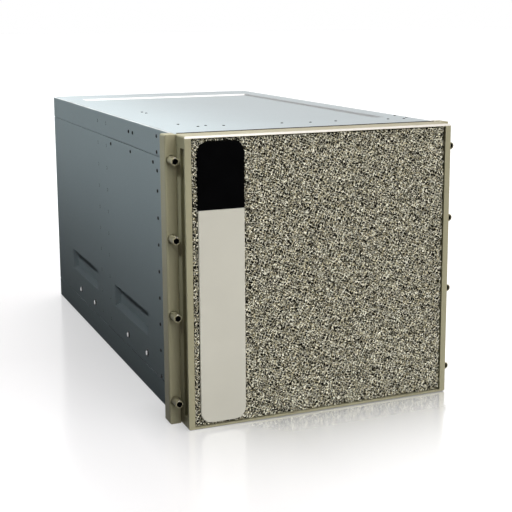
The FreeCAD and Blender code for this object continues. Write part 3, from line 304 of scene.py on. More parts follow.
def label_dark():
    """Black gloss with faint polishing marks."""
    finish = Finish("label_dark")
    finish.set(Base_Color=finish.mottled((0.0012, 0.0012, 0.0014), size=30 * MM, low=0.7, high=1.3),
               Roughness=finish.between(finish.noise(14 * MM, 4.0), 0.10, 0.16), Specular_IOR_Level=0.01,
               Normal=finish.bump(finish.noise(60 * MM), 0.03 * MM))
    return finish.material


def label_light():
    """Satin champagne plate with fine vertical brushing."""
    finish = Finish("label_light")
    brushed = finish.noise(0.6 * MM, 3.0, finish.stretched((1, 1, 0.02)))
    tone = finish.mottled((0.56, 0.545, 0.465), size=0.09, low=0.97, high=1.03)
    # Painted highlights: lighter along the plate's edges and on its top chamfer.
    tone = blend(finish.tree, finish.edges(0.6 * MM), tone, opaque((0.70, 0.685, 0.62)))
    tone = blend(finish.tree, finish.facing(BROW), tone, opaque(BROW_PAINTED_HIGHLIGHT))
    finish.set(Base_Color=tone, Metallic=0.15, Roughness=finish.between(brushed, 0.36, 0.46),
               Normal=finish.bump(brushed, 0.008 * MM))
    return finish.material


def steel(name, colour, roughness, squeeze=(1, 0.03, 1), wear_and_highlight=1.25):
    """Plated or turned steel with drawn marks."""
    finish = Finish(name)
    drawn = finish.noise(0.5 * MM, 3.0, finish.stretched(squeeze))
    tone = finish.mottled(colour, size=40 * MM, low=0.9, high=1.1)
    tone = blend(finish.tree, finish.edges(0.3 * MM), tone, opaque(scaled(colour, wear_and_highlight)))
    finish.set(Base_Color=tone, Metallic=1.0,
               Roughness=finish.between(drawn, roughness - 0.06, roughness + 0.08),
               Normal=finish.bump(drawn, 0.006 * MM))
    return finish.material


def stud_steel():
    return steel("stud_steel", colour=(0.43, 0.43, 0.425), roughness=0.30, squeeze=(1, 1, 1))


def guard_steel():
    return steel("guard_steel", colour=(0.30, 0.31, 0.32), roughness=0.34)


def port_steel():
    return steel("port_steel", colour=(0.70, 0.70, 0.68), roughness=0.28)


ZINC_DARK, ZINC_PALE = (0.50, 0.52, 0.53), (0.61, 0.63, 0.64)
FROST_RANGE, FROST_ROUGHNESS = (0.1, 0.9), (0.34, 0.48)


def zinc_steel():
    """Zinc plated sheet with its frosty patches."""
    finish = Finish("zinc_steel")
    patches = finish.cells(14 * MM, output="Color")
    grey = finish.add("RGBToBW", {0: patches}).outputs[0]
    tone = blend(finish.tree, spread(finish.tree, grey, *FROST_RANGE), opaque(ZINC_DARK), opaque(ZINC_PALE))
    finish.set(Base_Color=tone, Metallic=0.85,
               Roughness=spread(finish.tree, grey, *FROST_RANGE, *FROST_ROUGHNESS),
               Normal=finish.bump(finish.noise(1.5 * MM, 3.0), 0.012 * MM))
    return finish.material


def plastic(name, colour, roughness, grain=0.4 * MM, wear_and_highlight=1.8):
    """Moulded plastic with a fine spark-eroded grain."""
    finish = Finish(name)
    tone = finish.mottled(colour, size=20 * MM, low=0.85, high=1.15)
    tone = blend(finish.tree, finish.edges(0.4 * MM), tone, opaque(scaled(colour, wear_and_highlight)))
    finish.set(Base_Color=tone,
               Roughness=finish.between(finish.noise(6 * MM), roughness - 0.06, roughness + 0.06),
               Normal=finish.bump(finish.noise(grain, 2.0), 0.03 * MM))
    return finish.material


def black_plastic():
    return plastic("black_plastic", colour=(0.018, 0.018, 0.020), roughness=0.45)


def lever_plastic():
    return plastic("lever_plastic", colour=(0.05, 0.17, 0.07), roughness=0.42)


def satin_sheet(name, colour, metallic, roughness, wear_and_highlight=1.35):
    """Satin sheet metal with a slight rolling grain."""
    finish = Finish(name)
    rolled = finish.noise(0.8 * MM, 3.0, finish.stretched((1, 0.05, 1)))
    tone = finish.mottled(colour, size=50 * MM, low=0.93, high=1.07)
    tone = blend(finish.tree, finish.edges(0.4 * MM), tone, opaque(scaled(colour, wear_and_highlight)))
    finish.set(Base_Color=tone, Metallic=metallic,
               Roughness=finish.between(rolled, roughness - 0.05, roughness + 0.05),
               Normal=finish.bump(rolled, 0.008 * MM))
    return finish.material


def drive_metal():
    return satin_sheet("drive_metal", colour=(0.42, 0.43, 0.44), metallic=0.7, roughness=0.38)


def heatsink_metal():
    return satin_sheet("heatsink_metal", colour=(0.70, 0.71, 0.72), metallic=0.95, roughness=0.32)


def supply_metal():
    return satin_sheet("supply_metal", colour=(0.42, 0.43, 0.44), metallic=0.8, roughness=0.36)


SOLDER_MASK, TRACKS, PADS = (0.010, 0.070, 0.040), (0.024, 0.125, 0.070), (0.62, 0.50, 0.25)


def board():
    """Solder mask over a grid of copper tracks, with bare pads."""
    finish = Finish("board")
    tree = finish.tree
    grid = {"Vector": finish.place, "Scale": 1 / (9 * MM), "Mortar Size": 0.03,
            "Color1": (0, 0, 0, 1), "Color2": (0.2, 0.2, 0.2, 1), "Mortar": (1, 1, 1, 1)}
    tracks = finish.add("TexBrick", grid)
    pads = spread(tree, finish.cells(4 * MM), 0.10, 0.07)
    mask = blend(tree, tracks.outputs["Color"], opaque(SOLDER_MASK), opaque(TRACKS))
    tone = blend(tree, pads, mask, opaque(PADS))
    relief = math_node(tree, "ADD", tracks.outputs["Fac"], pads)
    finish.set(Base_Color=tone, Metallic=pads, Roughness=finish.between(finish.noise(5 * MM), 0.28, 0.40),
               Normal=finish.bump(relief, 0.03 * MM))
    return finish.material


SLOT_FINISHES = (chassis_paint, champagne_metal, foam_metal, label_dark, label_light, screw_metal,
                 stud_steel, guard_steel, port_steel, zinc_steel, black_plastic, lever_plastic, drive_metal,
                 heatsink_metal, supply_metal, board)


def paint_nodes(finishes):
    """Each CAD node wears the finish of its slot."""
    for row in frame["record"]["subparts"]:
        node = NODES[row["node"]]
        for slot in node.material_slots:
            slot.link = "OBJECT"
            slot.material = finishes[row["material_slot"]]


# Pieces


def piece(name, mesh, material, body):
    """An object of the mesh that rides on a body."""
    made = linked(name, mesh)
    made.data.materials.append(material)
    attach(made, body)
    return made


# Foam panel: the edges of packed fourteen-sided cells, as ligaments with four at each joint

CELL = 4.3 * MM
JOINT = 0.90 * MM  # from a joint's middle to its corners
FOAM_DEPTH = 5.4 * MM
LABEL_CORNER = 18 * MM
FOAM_TURN = math.radians(27)
FOAM_SEED = 7
FOAM_STRIPS = 9
PIT_PITCH, PIT_DEPTH = 3.4 * MM, 1.8 * MM
WAVES, WAVE_LENGTHS = 16, (1.6, 5.0)  # lengths in cells
SWAY, JITTER = 0.085, 0.09  # in cells
JOINT_SIZES = (0.75, 1.25)  # smallest and largest, in joints
TINY = 1e-12  # keeps a length that is divided by from being zero
LIGAMENT_STEPS = np.array([(1, 1, 0), (1, -1, 0), (1, 0, 1), (1, 0, -1), (0, 1, 1), (0, 1, -1)])


def foam_lattice(across, deep, high):
    """Joints on a quarter-cell grid and the ligaments between them, as pairs of joint numbers."""
    counts = [np.arange(count + 1) for count in (across, deep, high)]
    grid = np.stack(np.meshgrid(*counts, indexing="ij"), -1).reshape(-1, 3)
    fours = grid % 4
    odd = (fours % 2 == 1).sum(1) == 1
    joints = grid[odd & (fours == 0).any(1) & (fours == 2).any(1)]
    numbers = -np.ones((across + 3, deep + 3, high + 3), dtype=np.int64)
    numbers[tuple((joints + 1).T)] = np.arange(len(joints))
    pairs = []
    for step in LIGAMENT_STEPS:
        ends = numbers[tuple((joints + 1 + step).T)]
        both = ends >= 0
        pairs.append(np.stack([np.nonzero(both)[0], ends[both]], 1))
    return joints.astype(float), np.concatenate(pairs)


def foam_warp(points, rng):
    """Uneven cells: long waves and a little jitter."""
    moved = points.copy()
    for _ in range(WAVES):
        wave = rng.normal(size=3)
        wave *= 2 * math.pi / (CELL * rng.uniform(*WAVE_LENGTHS)) / np.linalg.norm(wave)
        push = rng.normal(size=3)
        moved += np.outer(np.sin(points @ wave + rng.uniform(0, 2 * math.pi)), push) * CELL * SWAY
    return moved + rng.normal(size=points.shape) * CELL * JITTER


def inside(points, low, high):
    return ((points > np.array(low)) & (points < np.array(high))).all(1)


def within(points, pairs, low, high):
    """The joints inside a box, and the ligaments between them."""
    kept = inside(points, low, high)
    numbers = np.cumsum(kept) - 1
    return points[kept], numbers[pairs[kept[pairs].all(1)]]


def beyond_label(points, middle, half):
    """Distance from the rounded outline of the label, seen from the front."""
    past = np.abs(points - middle)[:, [0, 2]] - (half[[0, 2]] - LABEL_CORNER)
    return np.linalg.norm(np.maximum(past, 0), axis=1) + np.minimum(past.max(1), 0) - LABEL_CORNER


def foam_corners(points, pairs, rng):
    """The four neighbours of each joint, and its four corners, one set away from each of its ligaments."""
    ends = np.concatenate([pairs, pairs[:, ::-1]])
    ends = ends[np.argsort(ends[:, 0], kind="stable")]
    count = np.bincount(ends[:, 0], minlength=len(points))
    full = count == 4
    starts = np.concatenate([[0], np.cumsum(count)[:-1]])
    beside = -np.ones((len(points), 4), dtype=np.int64)
    for place in range(4):
        beside[full, place] = ends[starts[full] + place, 1]
    away = points[beside] - points[:, None]
    away /= np.linalg.norm(away, axis=2, keepdims=True) + TINY
    sizes = JOINT * rng.uniform(*JOINT_SIZES, size=len(points))
    return beside, (points[:, None] - away * sizes[:, None, None]).reshape(-1, 3)


def foam_faces(points, pairs, kept, beside, corners):
    """Three sides for each ligament between kept joints, and a cap where a ligament is cut off."""
    pairs = pairs[kept[pairs].any(1) & (beside[pairs] >= 0).all((1, 2))]
    pairs = np.where(kept[pairs[:, :1]], pairs, pairs[:, ::-1])
    first, second = pairs.T
    others = np.array([[b for b in range(4) if b != a] for a in range(4)])
    near = first[:, None] * 4 + others[np.argmax(beside[first] == second[:, None], axis=1)]
    far = second[:, None] * 4 + others[np.argmax(beside[second] == first[:, None], axis=1)]
    facing = np.cross(corners[near[:, 1]] - corners[near[:, 0]], corners[near[:, 2]] - corners[near[:, 0]])
    backward = np.einsum("ij,ij->i", facing, points[second] - points[first]) < 0
    near[backward] = near[backward][:, ::-1]
    turns = np.array(list(itertools.permutations(range(3))))
    gaps = [np.linalg.norm(corners[far[:, turn]] - corners[near], axis=2).sum(1) for turn in turns]
    far = np.take_along_axis(far, turns[np.argmin(gaps, axis=0)], 1)
    whole = kept[second]
    sides = [np.stack([near[:, i], near[:, (i + 1) % 3], far[:, (i + 1) % 3], far[:, i]], 1)[whole]
             for i in range(3)]
    return np.concatenate(sides), near[~whole]


def mesh_of(name, points, *faces):
    """A smooth mesh of the points that the faces use."""
    used = np.unique(np.concatenate([part.ravel() for part in faces]))
    rows = [row for part in faces for row in np.searchsorted(used, part).tolist()]
    mesh = bpy.data.meshes.new(name)
    mesh.from_pydata(points[used].tolist(), [], rows)
    mesh.shade_smooth()
    return mesh


def pitted_sheet(name, low, high, rng):
    """A block whose front is uneven all over with shallow pits."""
    shape = bmesh.new()
    size = high - low
    across, up = (round(side / PIT_PITCH) for side in (size.x, size.z))
    bmesh.ops.create_grid(shape, x_segments=across, y_segments=up, size=0.5)
    fronts = shape.verts[:]
    grown = bmesh.ops.extrude_face_region(shape, geom=shape.faces[:], use_keep_orig=True)["geom"]
    backs = [made for made in grown if isinstance(made, bmesh.types.BMVert)]
    middle = (low + high) / 2
    for vertex, pit in zip(fronts, rng.uniform(0, PIT_DEPTH, len(fronts))):
        vertex.co = middle.x + vertex.co.x * size.x, low.y + pit, middle.z + vertex.co.y * size.z
    for vertex in backs:
        vertex.co = middle.x + vertex.co.x * size.x, high.y, middle.z + vertex.co.y * size.z
    bmesh.ops.recalc_face_normals(shape, faces=shape.faces)
    mesh = bpy.data.meshes.new(name)
    shape.to_mesh(mesh)
    shape.free()
    return mesh


def make_foam(finishes):
    low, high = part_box("bezel_foam")
    label_low, label_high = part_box("label_lower")[0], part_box("label_upper")[1]
    rng = np.random.default_rng(FOAM_SEED)
    step = CELL / 4
    front, rear = low, Vector((high.x, low.y + FOAM_DEPTH, high.z))
    across = math.hypot(high.x - low.x, high.z - low.z)
    reach = np.array((across, FOAM_DEPTH, across)) + 3 * CELL
    joints, pairs = foam_lattice(*(int(side / step) for side in reach))
    points = foam_warp(joints * step - reach / 2, rng)
    points = points @ np.array(Matrix.Rotation(FOAM_TURN, 3, "Y")).T + np.array((front + rear) / 2)
    margin = Vector((CELL, CELL, CELL))
    points, pairs = within(points, pairs, front - margin, rear + margin)
    skin = Vector((JOINT, JOINT, JOINT))
    beside, corners = foam_corners(points, pairs, rng)
    label = np.array((label_low + label_high) / 2), np.array((label_high - label_low) / 2)
    clear = beyond_label(points, *label) > JOINT / 2
    kept = inside(points, front + skin, rear - skin) & clear & (beside >= 0).all(1)
    sides, caps = foam_faces(points, pairs, kept, beside, corners)
    edges = np.quantile(corners[sides[:, 0], 2], np.linspace(0, 1, FOAM_STRIPS + 1)[1:-1])
    for number in range(FOAM_STRIPS):
        strip = [part[np.searchsorted(edges, corners[part[:, 0], 2]) == number] for part in (sides, caps)]
        name = f"foam_ligaments_{number + 1}"
        made = piece(name, mesh_of(name, corners, *strip), finishes["foam_metal"], "bezel")
        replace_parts(made, "bezel_foam")
    # A near-black sheet behind the ligaments: painted shade for the depth of the foam.
    depth = pitted_sheet("foam_shade_sheet", Vector((low.x, rear.y, low.z)), high, rng)
    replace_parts(piece("foam_shade_sheet", depth, foam_shade(), "bezel"), "bezel_foam")


# Solids as points and faces, to be set on seats: a place and the direction that it faces

CREASE = math.radians(32)
LOBES = 6  # of a screw's socket
UP, FORWARD, REARWARD = Vector((0, 0, 1)), Vector((0, -1, 0)), Vector((0, 1, 0))


def turned(profile, sides=24, start=0.0):
    """A solid turned about +Z. A row is a radius and a height in millimetres, and the swell of its lobes."""
    points, rings = [], []
    for radius, height, *swell in profile:
        count = sides if radius else 1
        rings.append(range(len(points), len(points) + count))
        for number in range(count):
            angle = start + 2 * math.pi * number / sides
            reach = radius * (1 + sum(swell) * math.cos(LOBES * angle))
            points.append(Vector((reach * math.cos(angle), reach * math.sin(angle), height)) * MM)
    faces = []
    for lower, upper in itertools.pairwise(rings):
        for number in range(sides):
            corners = (lower[number % len(lower)], lower[(number + 1) % len(lower)],
                       upper[(number + 1) % len(upper)], upper[number % len(upper)])
            faces.append(tuple(dict.fromkeys(corners)))
    return points, faces


def block(width, depth, height, bevel=0.4):
    """A block in millimetres that stands on its middle, with its edges taken off."""
    shape = bmesh.new()
    bmesh.ops.create_cube(shape, size=1)
    size = Matrix.Diagonal((width * MM, depth * MM, height * MM, 1))
    bmesh.ops.transform(shape, matrix=size @ Matrix.Translation((0, 0, 0.5)), verts=shape.verts)
    bmesh.ops.bevel(shape, geom=shape.edges, offset=bevel * MM, segments=2, affect="EDGES", profile=0.5)
    shape.verts.index_update()
    points = [vertex.co.copy() for vertex in shape.verts]
    faces = [[vertex.index for vertex in face.verts] for face in shape.faces]
    shape.free()
    return points, faces


def ring(radius, wire, sides=32, wire_sides=8):
    """A wire ring about +Z, in millimetres."""
    points = []
    for number in range(sides):
        around = 2 * math.pi * number / sides
        for step in range(wire_sides):
            angle = 2 * math.pi * step / wire_sides
            reach = radius + wire * math.cos(angle)
            rise = wire * math.sin(angle)
            points.append(Vector((reach * math.cos(around), reach * math.sin(around), rise)) * MM)
    faces = []
    for number, step in itertools.product(range(sides), range(wire_sides)):
        here, there = number * wire_sides, (number + 1) % sides * wire_sides
        following = (step + 1) % wire_sides
        faces.append((here + step, there + step, there + following, here + following))
    return points, faces


def assembled(name, items):
    """One mesh of several solids, each set at a place and turned to face outward."""
    points, faces = [], []
    for solid, place, outward in items:
        turn = UP.rotation_difference(outward)
        first = len(points)
        points.extend(Vector(place) + turn @ point for point in solid[0])
        faces.extend(tuple(first + corner for corner in face) for face in solid[1])
    mesh = bpy.data.meshes.new(name)
    mesh.from_pydata(points, [], faces)
    mesh.shade_smooth()
    mesh.set_sharp_from_angle(angle=CREASE)
    return mesh


# Small fasteners of the sheet metal, in millimetres: places are along and up a side, across and along the
# lid, and across and up the rear wall of a tray

SCREW = ((0, -0.3), (3.0, -0.3), (3.0, 0.5), (2.8, 0.9), (2.2, 1.15), (1.6, 1.2), (1.35, 1.2, 0.14),
         (1.35, 0.3, 0.14), (0, 0.3))
LID_SCALE = 0.75
LID_SCREW = tuple((LID_SCALE * radius, LID_SCALE * height, *lobes) for radius, height, *lobes in SCREW)
RIVET = ((0, -0.3), (2.3, -0.3), (2.3, 0.1), (1.9, 0.5), (1.1, 0.75), (0.5, 0.8), (0, 0.8))
SIDE_SCREW_COLUMN = -316
SIDE_SCREW_FOOT, SIDE_SCREW_PITCH, SIDE_SCREW_COUNT = 45, 43, 8
SIDE_SCREW_HEADS = (378, 407, 432)
SEAM_SCREWS = ((-295, 389), (-166, 391), (-40, 391), (-182, 424), (-158, 424))
STUD_HEIGHT, STUD_DEPTHS = 62, (-240.5, -125.5, 111.5, 226.5)
STUD_PLACES = tuple((depth, STUD_HEIGHT) for depth in STUD_DEPTHS)
RIVET_COLUMNS = (-6, 54)
RIVET_FOOT, RIVET_PITCH, RIVET_COUNT = 60, 40.5, 10
REAR_RIVETS = ((345, 390), (345, 323), (345, 227), (345, 131), (209, 425))
LID_SCREWS = ((-164, -242), (-168, -285), (-156, -317), (-140, -308), (-114, -320), (-15, -323), (32, -331),
              (78, -330), (172, -336), (200, -340), (214, -285), (214, -324), (-151, 7), (-150, -17))
FIELD_SIDE, FIELD_FRONT, FIELD_REAR, FIELD_DEPTH = 185, -303, 334, 3
TRAY_SCREWS = {"module_tray": ((50, 436), (130, 436), (200, 436), (213, 240), (213, 330), (40, 170)),
               "system_tray": ((213, 58), (213, 104), (30, 140))}
# Painted shade: a black ring round the foot of each rivet.
RIVET_SHADE_RING = ((0, -0.3), (3.1, -0.3), (3.1, 0.1), (0, 0.1))
STUD_RING = ((0, -0.3), (6.2, -0.3), (6.2, 0.2), (5.9, 0.4), (0, 0.4))
# Painted shade: a black hexagonal cup inside each captive screw's socket.
SOCKET_SHADE_WALL = ((0, -13.9), (4.93, -13.9), (4.93, -0.15), (4.6, -0.15), (4.6, -13.5), (0, -13.5))


def side_seats(places):
    """Seats on both sides of the chassis for places along it and up it."""
    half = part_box("right_side_panel")[1].x
    return [((sign * half, y * MM, z * MM), Vector((sign, 0, 0))) for sign in SIDES for y, z in places]


def lid_seat(x, y):
    sunk = abs(x) < FIELD_SIDE and FIELD_FRONT < y < FIELD_REAR
    return (x * MM, y * MM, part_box("top_cover")[1].z - sunk * FIELD_DEPTH * MM), UP


def socket_seats():
    """The front faces of the captive screws, from the rack mounts."""
    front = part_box("captive_screws")[0].y
    seats = []
    for mount in frame["record"]["mounts"]:
        if mount["kind"] == "bolt_pattern":
            across, up = (mount["dims"][key] / 2 * MM for key in ("spacing_x_mm", "spacing_y_mm"))
            corners = itertools.product((-across, across), (-up, up))
            seats += [((x, front, mount["pos_m"][2] + z), FORWARD) for x, z in corners]
    return seats


def make_fasteners(finishes):
    column = [SIDE_SCREW_FOOT + SIDE_SCREW_PITCH * row for row in range(SIDE_SCREW_COUNT)]
    screws = [(SIDE_SCREW_COLUMN, height) for height in (*column, *SIDE_SCREW_HEADS)]
    screws += SEAM_SCREWS
    lid_seats = [lid_seat(*place) for place in LID_SCREWS]
    rivets = [(y, RIVET_FOOT + RIVET_PITCH * row) for y in RIVET_COLUMNS for row in range(RIVET_COUNT)]
    # Black oxide for the screws; the same finish is painted shade round the rivets and inside the screw
    # sockets.
    black = steel("black_oxide_and_shade", colour=(0.012, 0.012, 0.013), roughness=0.5)
    paint = finishes["chassis_paint"]
    # Black hexagonal linings in the captive screws' sockets: painted shade inside each socket.
    socket_shade_lining = turned(SOCKET_SHADE_WALL, sides=6, start=math.radians(30))
    groups = (("side_screws", turned(SCREW), side_seats(screws), black, "stud_steel"),
              # Black rings around the rivets: painted shade in the gap round each rivet.
              ("rivet_shade_rings", turned(RIVET_SHADE_RING), side_seats(rivets), black, "stud_steel"),
              ("stud_rings", turned(STUD_RING), side_seats(STUD_PLACES), black, "stud_steel"),
              ("side_rivets", turned(RIVET), side_seats(rivets + list(REAR_RIVETS)), paint, "chassis_paint"),
              ("lid_screws", turned(LID_SCREW), lid_seats, black, "stud_steel"),
              ("socket_shade_linings", socket_shade_lining, socket_seats(), black, "screw_metal"))
    for name, solid, seats, material, slot in groups:
        piece(name, assembled(name, [(solid, *seat) for seat in seats]), material, "chassis")
    for tray, places in TRAY_SCREWS.items():
        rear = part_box(tray)[1].y
        seats = [((sign * x * MM, rear, z * MM), REARWARD) for x, z in places for sign in SIDES]
        mesh = assembled(f"{tray}_screws", [(turned(SCREW), *seat) for seat in seats])
        piece(f"{tray}_screws", mesh, finishes["port_steel"], tray)


# Dark strips of painted shade in the seams and along the lid's front edge, in millimetres

SEAM_RUNS = ((-402, 18), (86, 352))  # from front to rear, with a break at the rivet columns
SHADE_STRIP_SINK = 0.3  # from the panel's face in to the strip
SHADE_STRIP_DEPTH, SHADE_STRIP_EDGE = 0.8, 0.15
SHADE_STRIP_ROOM = 0.1  # between the strip and each edge of its seam
LID_SHADE_HEIGHT, LID_SHADE_DEPTH, LID_SHADE_INSET, LID_SHADE_EDGE = 1.0, 2.4, 4.0, 0.3


def make_shade_strips():
    """Dark strips of painted shade in the seams above and below the side panels, and one along the front
    edge of the lid.
    """
    base, panel, lid = (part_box(node) for node in ("chassis_base", "right_side_panel", "top_cover"))
    sunk = panel[1].x - (SHADE_STRIP_SINK + SHADE_STRIP_DEPTH) * MM
    strips = []
    for low, high in ((base[1].z, panel[0].z), (panel[1].z, lid[0].z)):
        gap = (high - low) / MM - 2 * SHADE_STRIP_ROOM
        for (front, rear), sign in itertools.product(SEAM_RUNS, SIDES):
            place = sign * sunk, (front + rear) / 2 * MM, (low + high) / 2
            strips.append((block(gap, rear - front, SHADE_STRIP_DEPTH, SHADE_STRIP_EDGE), place, Vector((sign, 0, 0))))
    width = (lid[1].x - lid[0].x) / MM - 2 * LID_SHADE_INSET
    lid_shade_strip = block(width, LID_SHADE_DEPTH, LID_SHADE_HEIGHT, LID_SHADE_EDGE)
    strips.append((lid_shade_strip, (0, lid[0].y + LID_SHADE_DEPTH / 2 * MM, lid[1].z), UP))
    # Near-black, as painted shade in the seams and along the lid's front edge.
    shade_black = plastic("shade_strip_black", colour=(0.010, 0.011, 0.012), roughness=0.7)
    piece("seam_shade_strips", assembled("seam_shade_strips", strips), shade_black, "chassis")


# Linings that close the rear of the finger grooves, in millimetres from the front and sides of the bezel

GROOVE_END, GROOVE_DEPTH, GROOVE_REAR = 18, 6, 20
LEDGE_REAR = 15.8  # where the hollow of the bezel begins
BEZEL_WALL = 4
LINING, LINING_EDGE = 1.0, 0.1


def make_groove_linings(finishes):
    """A shallow tray behind each groove, against the inside of the bezel's wall."""
    low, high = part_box("bezel_frame")
    length = (high.z - low.z) / MM - 2 * GROOVE_END
    depth = GROOVE_REAR + LINING - LEDGE_REAR
    rise = GROOVE_DEPTH - BEZEL_WALL
    sheet = block(length + 2 * LINING, depth, LINING, LINING_EDGE)
    rear = block(length + 2 * LINING, LINING, rise, LINING_EDGE)
    end = block(LINING, depth, rise, LINING_EDGE)
    middle = low.y + (LEDGE_REAR + depth / 2) * MM
    items = []
    for sign in SIDES:
        outward = Vector((sign, 0, 0))
        seat = Vector((sign * (high.x - GROOVE_DEPTH * MM), middle, (low.z + high.z) / 2))
        items.append((sheet, seat - outward * LINING * MM, outward))
        items.append((rear, seat + REARWARD * (depth - LINING) / 2 * MM, outward))
        items += [(end, seat + UP * way * (length + LINING) / 2 * MM, outward) for way in (-1, 1)]
    material = finishes["champagne_metal"]
    piece("groove_linings", assembled("groove_linings", items), material, "bezel")


# Faces of the power supplies, in millimetres from the middle of the face

SUPPLIES = 6
SUPPLY_LENGTH = 330
INLET_PLACE = 20
INLET_WIDTH, INLET_HEIGHT, INLET_DEPTH, INLET_WALL = 24.6, 18.6, 13.8, 1.8
PIN_PLACES = ((-6.5, -3), (0, 3.5), (6.5, -3))
PIN_FOOT = 1  # from the bottom of the inlet
AIR_PLACE = -18
AIR_RINGS = (4.5, 8.5, 12.5, 16.5)
WIRE = 0.7
LATCH_PLACE, LATCH_HEIGHT = 20, 15.5
# width, depth, height and bevel of the small blocks
PIN, SPOKE, TAB, RIB = (2.0, 6.5, 11, 0.5), (1.4, 34, 1.4, 0.3), (16, 5, 9, 1.2), (14, 0.8, 0.8, 0.2)
RIB_RISE, RIB_PLACES = 2.4, (3, 5, 7)
LAMP_PLACE, LAMP_HEIGHT = 12, -15
LAMP = ((0, -0.3), (1.6, -0.3), (1.6, 0.3), (1.2, 0.7), (0.6, 0.9), (0, 0.95))


def supply_details():
    """The solids of each detail of a supply, their places across, rearward and up, and where they face."""
    upright = block(INLET_WALL, INLET_HEIGHT, INLET_DEPTH)
    level = block(INLET_WIDTH, INLET_WALL, INLET_DEPTH)
    sill = block(INLET_WIDTH, INLET_HEIGHT, INLET_WALL)
    wide, tall = (INLET_WIDTH - INLET_WALL) / 2, (INLET_HEIGHT - INLET_WALL) / 2
    shroud = [(upright, (INLET_PLACE + side * wide, -INLET_DEPTH, 0), REARWARD) for side in (-1, 1)]
    shroud += [(level, (INLET_PLACE, -INLET_DEPTH, side * tall), REARWARD) for side in (-1, 1)]
    shroud.append((sill, (INLET_PLACE, -INLET_DEPTH, 0), REARWARD))
    pins = [(block(*PIN), (INLET_PLACE + x, PIN_FOOT - INLET_DEPTH, z), REARWARD) for x, z in PIN_PLACES]
    guard = [(ring(radius, WIRE), (AIR_PLACE, WIRE, 0), REARWARD) for radius in AIR_RINGS]
    guard.append((block(*SPOKE), (AIR_PLACE, 0, 0), REARWARD))
    latch = [(block(*TAB), (LATCH_PLACE, 0, LATCH_HEIGHT), REARWARD)]
    latch += [(block(*RIB), (LATCH_PLACE, y, LATCH_HEIGHT + RIB_RISE), UP) for y in RIB_PLACES]
    lamp = [(turned(LAMP), (LAMP_PLACE, 0, LAMP_HEIGHT), REARWARD)]
    return {"inlet": shroud, "pins": pins, "air_guard": guard, "latch": latch, "lamp": lamp}


def make_supply_faces(finishes):
    slots = {"inlet": "black_plastic", "pins": "port_steel", "air_guard": "guard_steel",
             "latch": "lever_plastic", "lamp": "lever_plastic"}
    lamp_finish = plastic("lamp_green", colour=(0.03, 0.30, 0.06), roughness=0.25)
    details = supply_details()
    for number in range(1, SUPPLIES + 1):
        body = f"power_supply_{number}"
        low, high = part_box(body)
        face = Vector(((low.x + high.x) / 2, low.y + SUPPLY_LENGTH * MM, (low.z + high.z) / 2))
        for detail, solids in details.items():
            items = [(solid, face + Vector(place) * MM, outward) for solid, place, outward in solids]
            name = f"supply_{detail}_{number}"
            material = lamp_finish if detail == "lamp" else finishes[slots[detail]]
            piece(name, assembled(name, items), material, body)


# Small parts on the boards, in millimetres

PACKAGES = ((26, 26, 2.4), (18, 18, 2.0), (14, 22, 1.8), (9, 9, 1.4), (6, 12, 1.2), (4, 4, 1.0),
            (2.4, 1.2, 0.8))
CAPACITOR = ((0, 0), (4.2, 0), (4.2, 1.0), (3.9, 1.3), (4.0, 1.8), (4.0, 9.4), (3.6, 10.0),
             (2.9, 10.0), (2.8, 9.8), (0, 9.8))
CHIPS_OF_A_KIND, CHIP_EDGE, CHIP_ROOM = 14, 0.4, 2
CAPACITORS, CAPACITOR_ROOM = 26, 6
BOARD_SEED = 11
TRIES = 30  # for each place


def free_places(count, low, high, taken, room, rng):
    """Seeded places on a board, clear of what stands there. Each new one is taken too."""
    found = []
    for _ in range(count * TRIES):
        x, y = rng.uniform(low.x + room, high.x - room), rng.uniform(low.y + room, high.y - room)
        if all(x + room < a.x or x - room > b.x or y + room < a.y or y - room > b.y for a, b in taken):
            found.append((x, y))
            taken.append((Vector((x - room, y - room, 0)), Vector((x + room, y + room, 0))))
        if len(found) == count:
            break
    return found


def make_board_parts(finishes):
    rng = np.random.default_rng(BOARD_SEED)
    boards = (("system", "system_board", "system_tray",
               ("processor_heatsinks", "memory_modules", "network_ports")),
              ("module", "module_board", "module_tray", ("module_heatsinks",)))
    for label, node, body, neighbours in boards:
        low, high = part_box(node)
        taken = [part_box(other) for other in neighbours]
        chips = []
        for width, depth, height in PACKAGES:
            solid = block(width, depth, height, min(CHIP_EDGE, height / 4))
            room = (max(width, depth) / 2 + CHIP_ROOM) * MM
            places = free_places(CHIPS_OF_A_KIND, low, high, taken, room, rng)
            chips += [(solid, (x, y, high.z), UP) for x, y in places]
        places = free_places(CAPACITORS, low, high, taken, CAPACITOR_ROOM * MM, rng)
        cans = [(turned(CAPACITOR), (x, y, high.z), UP) for x, y in places]
        for detail, items, slot in (("chips", chips, "black_plastic"), ("capacitors", cans, "drive_metal")):
            name = f"{label}_{detail}"
            piece(name, assembled(name, items), finishes[slot], body)


# Stage: pale floor, soft light, in metres

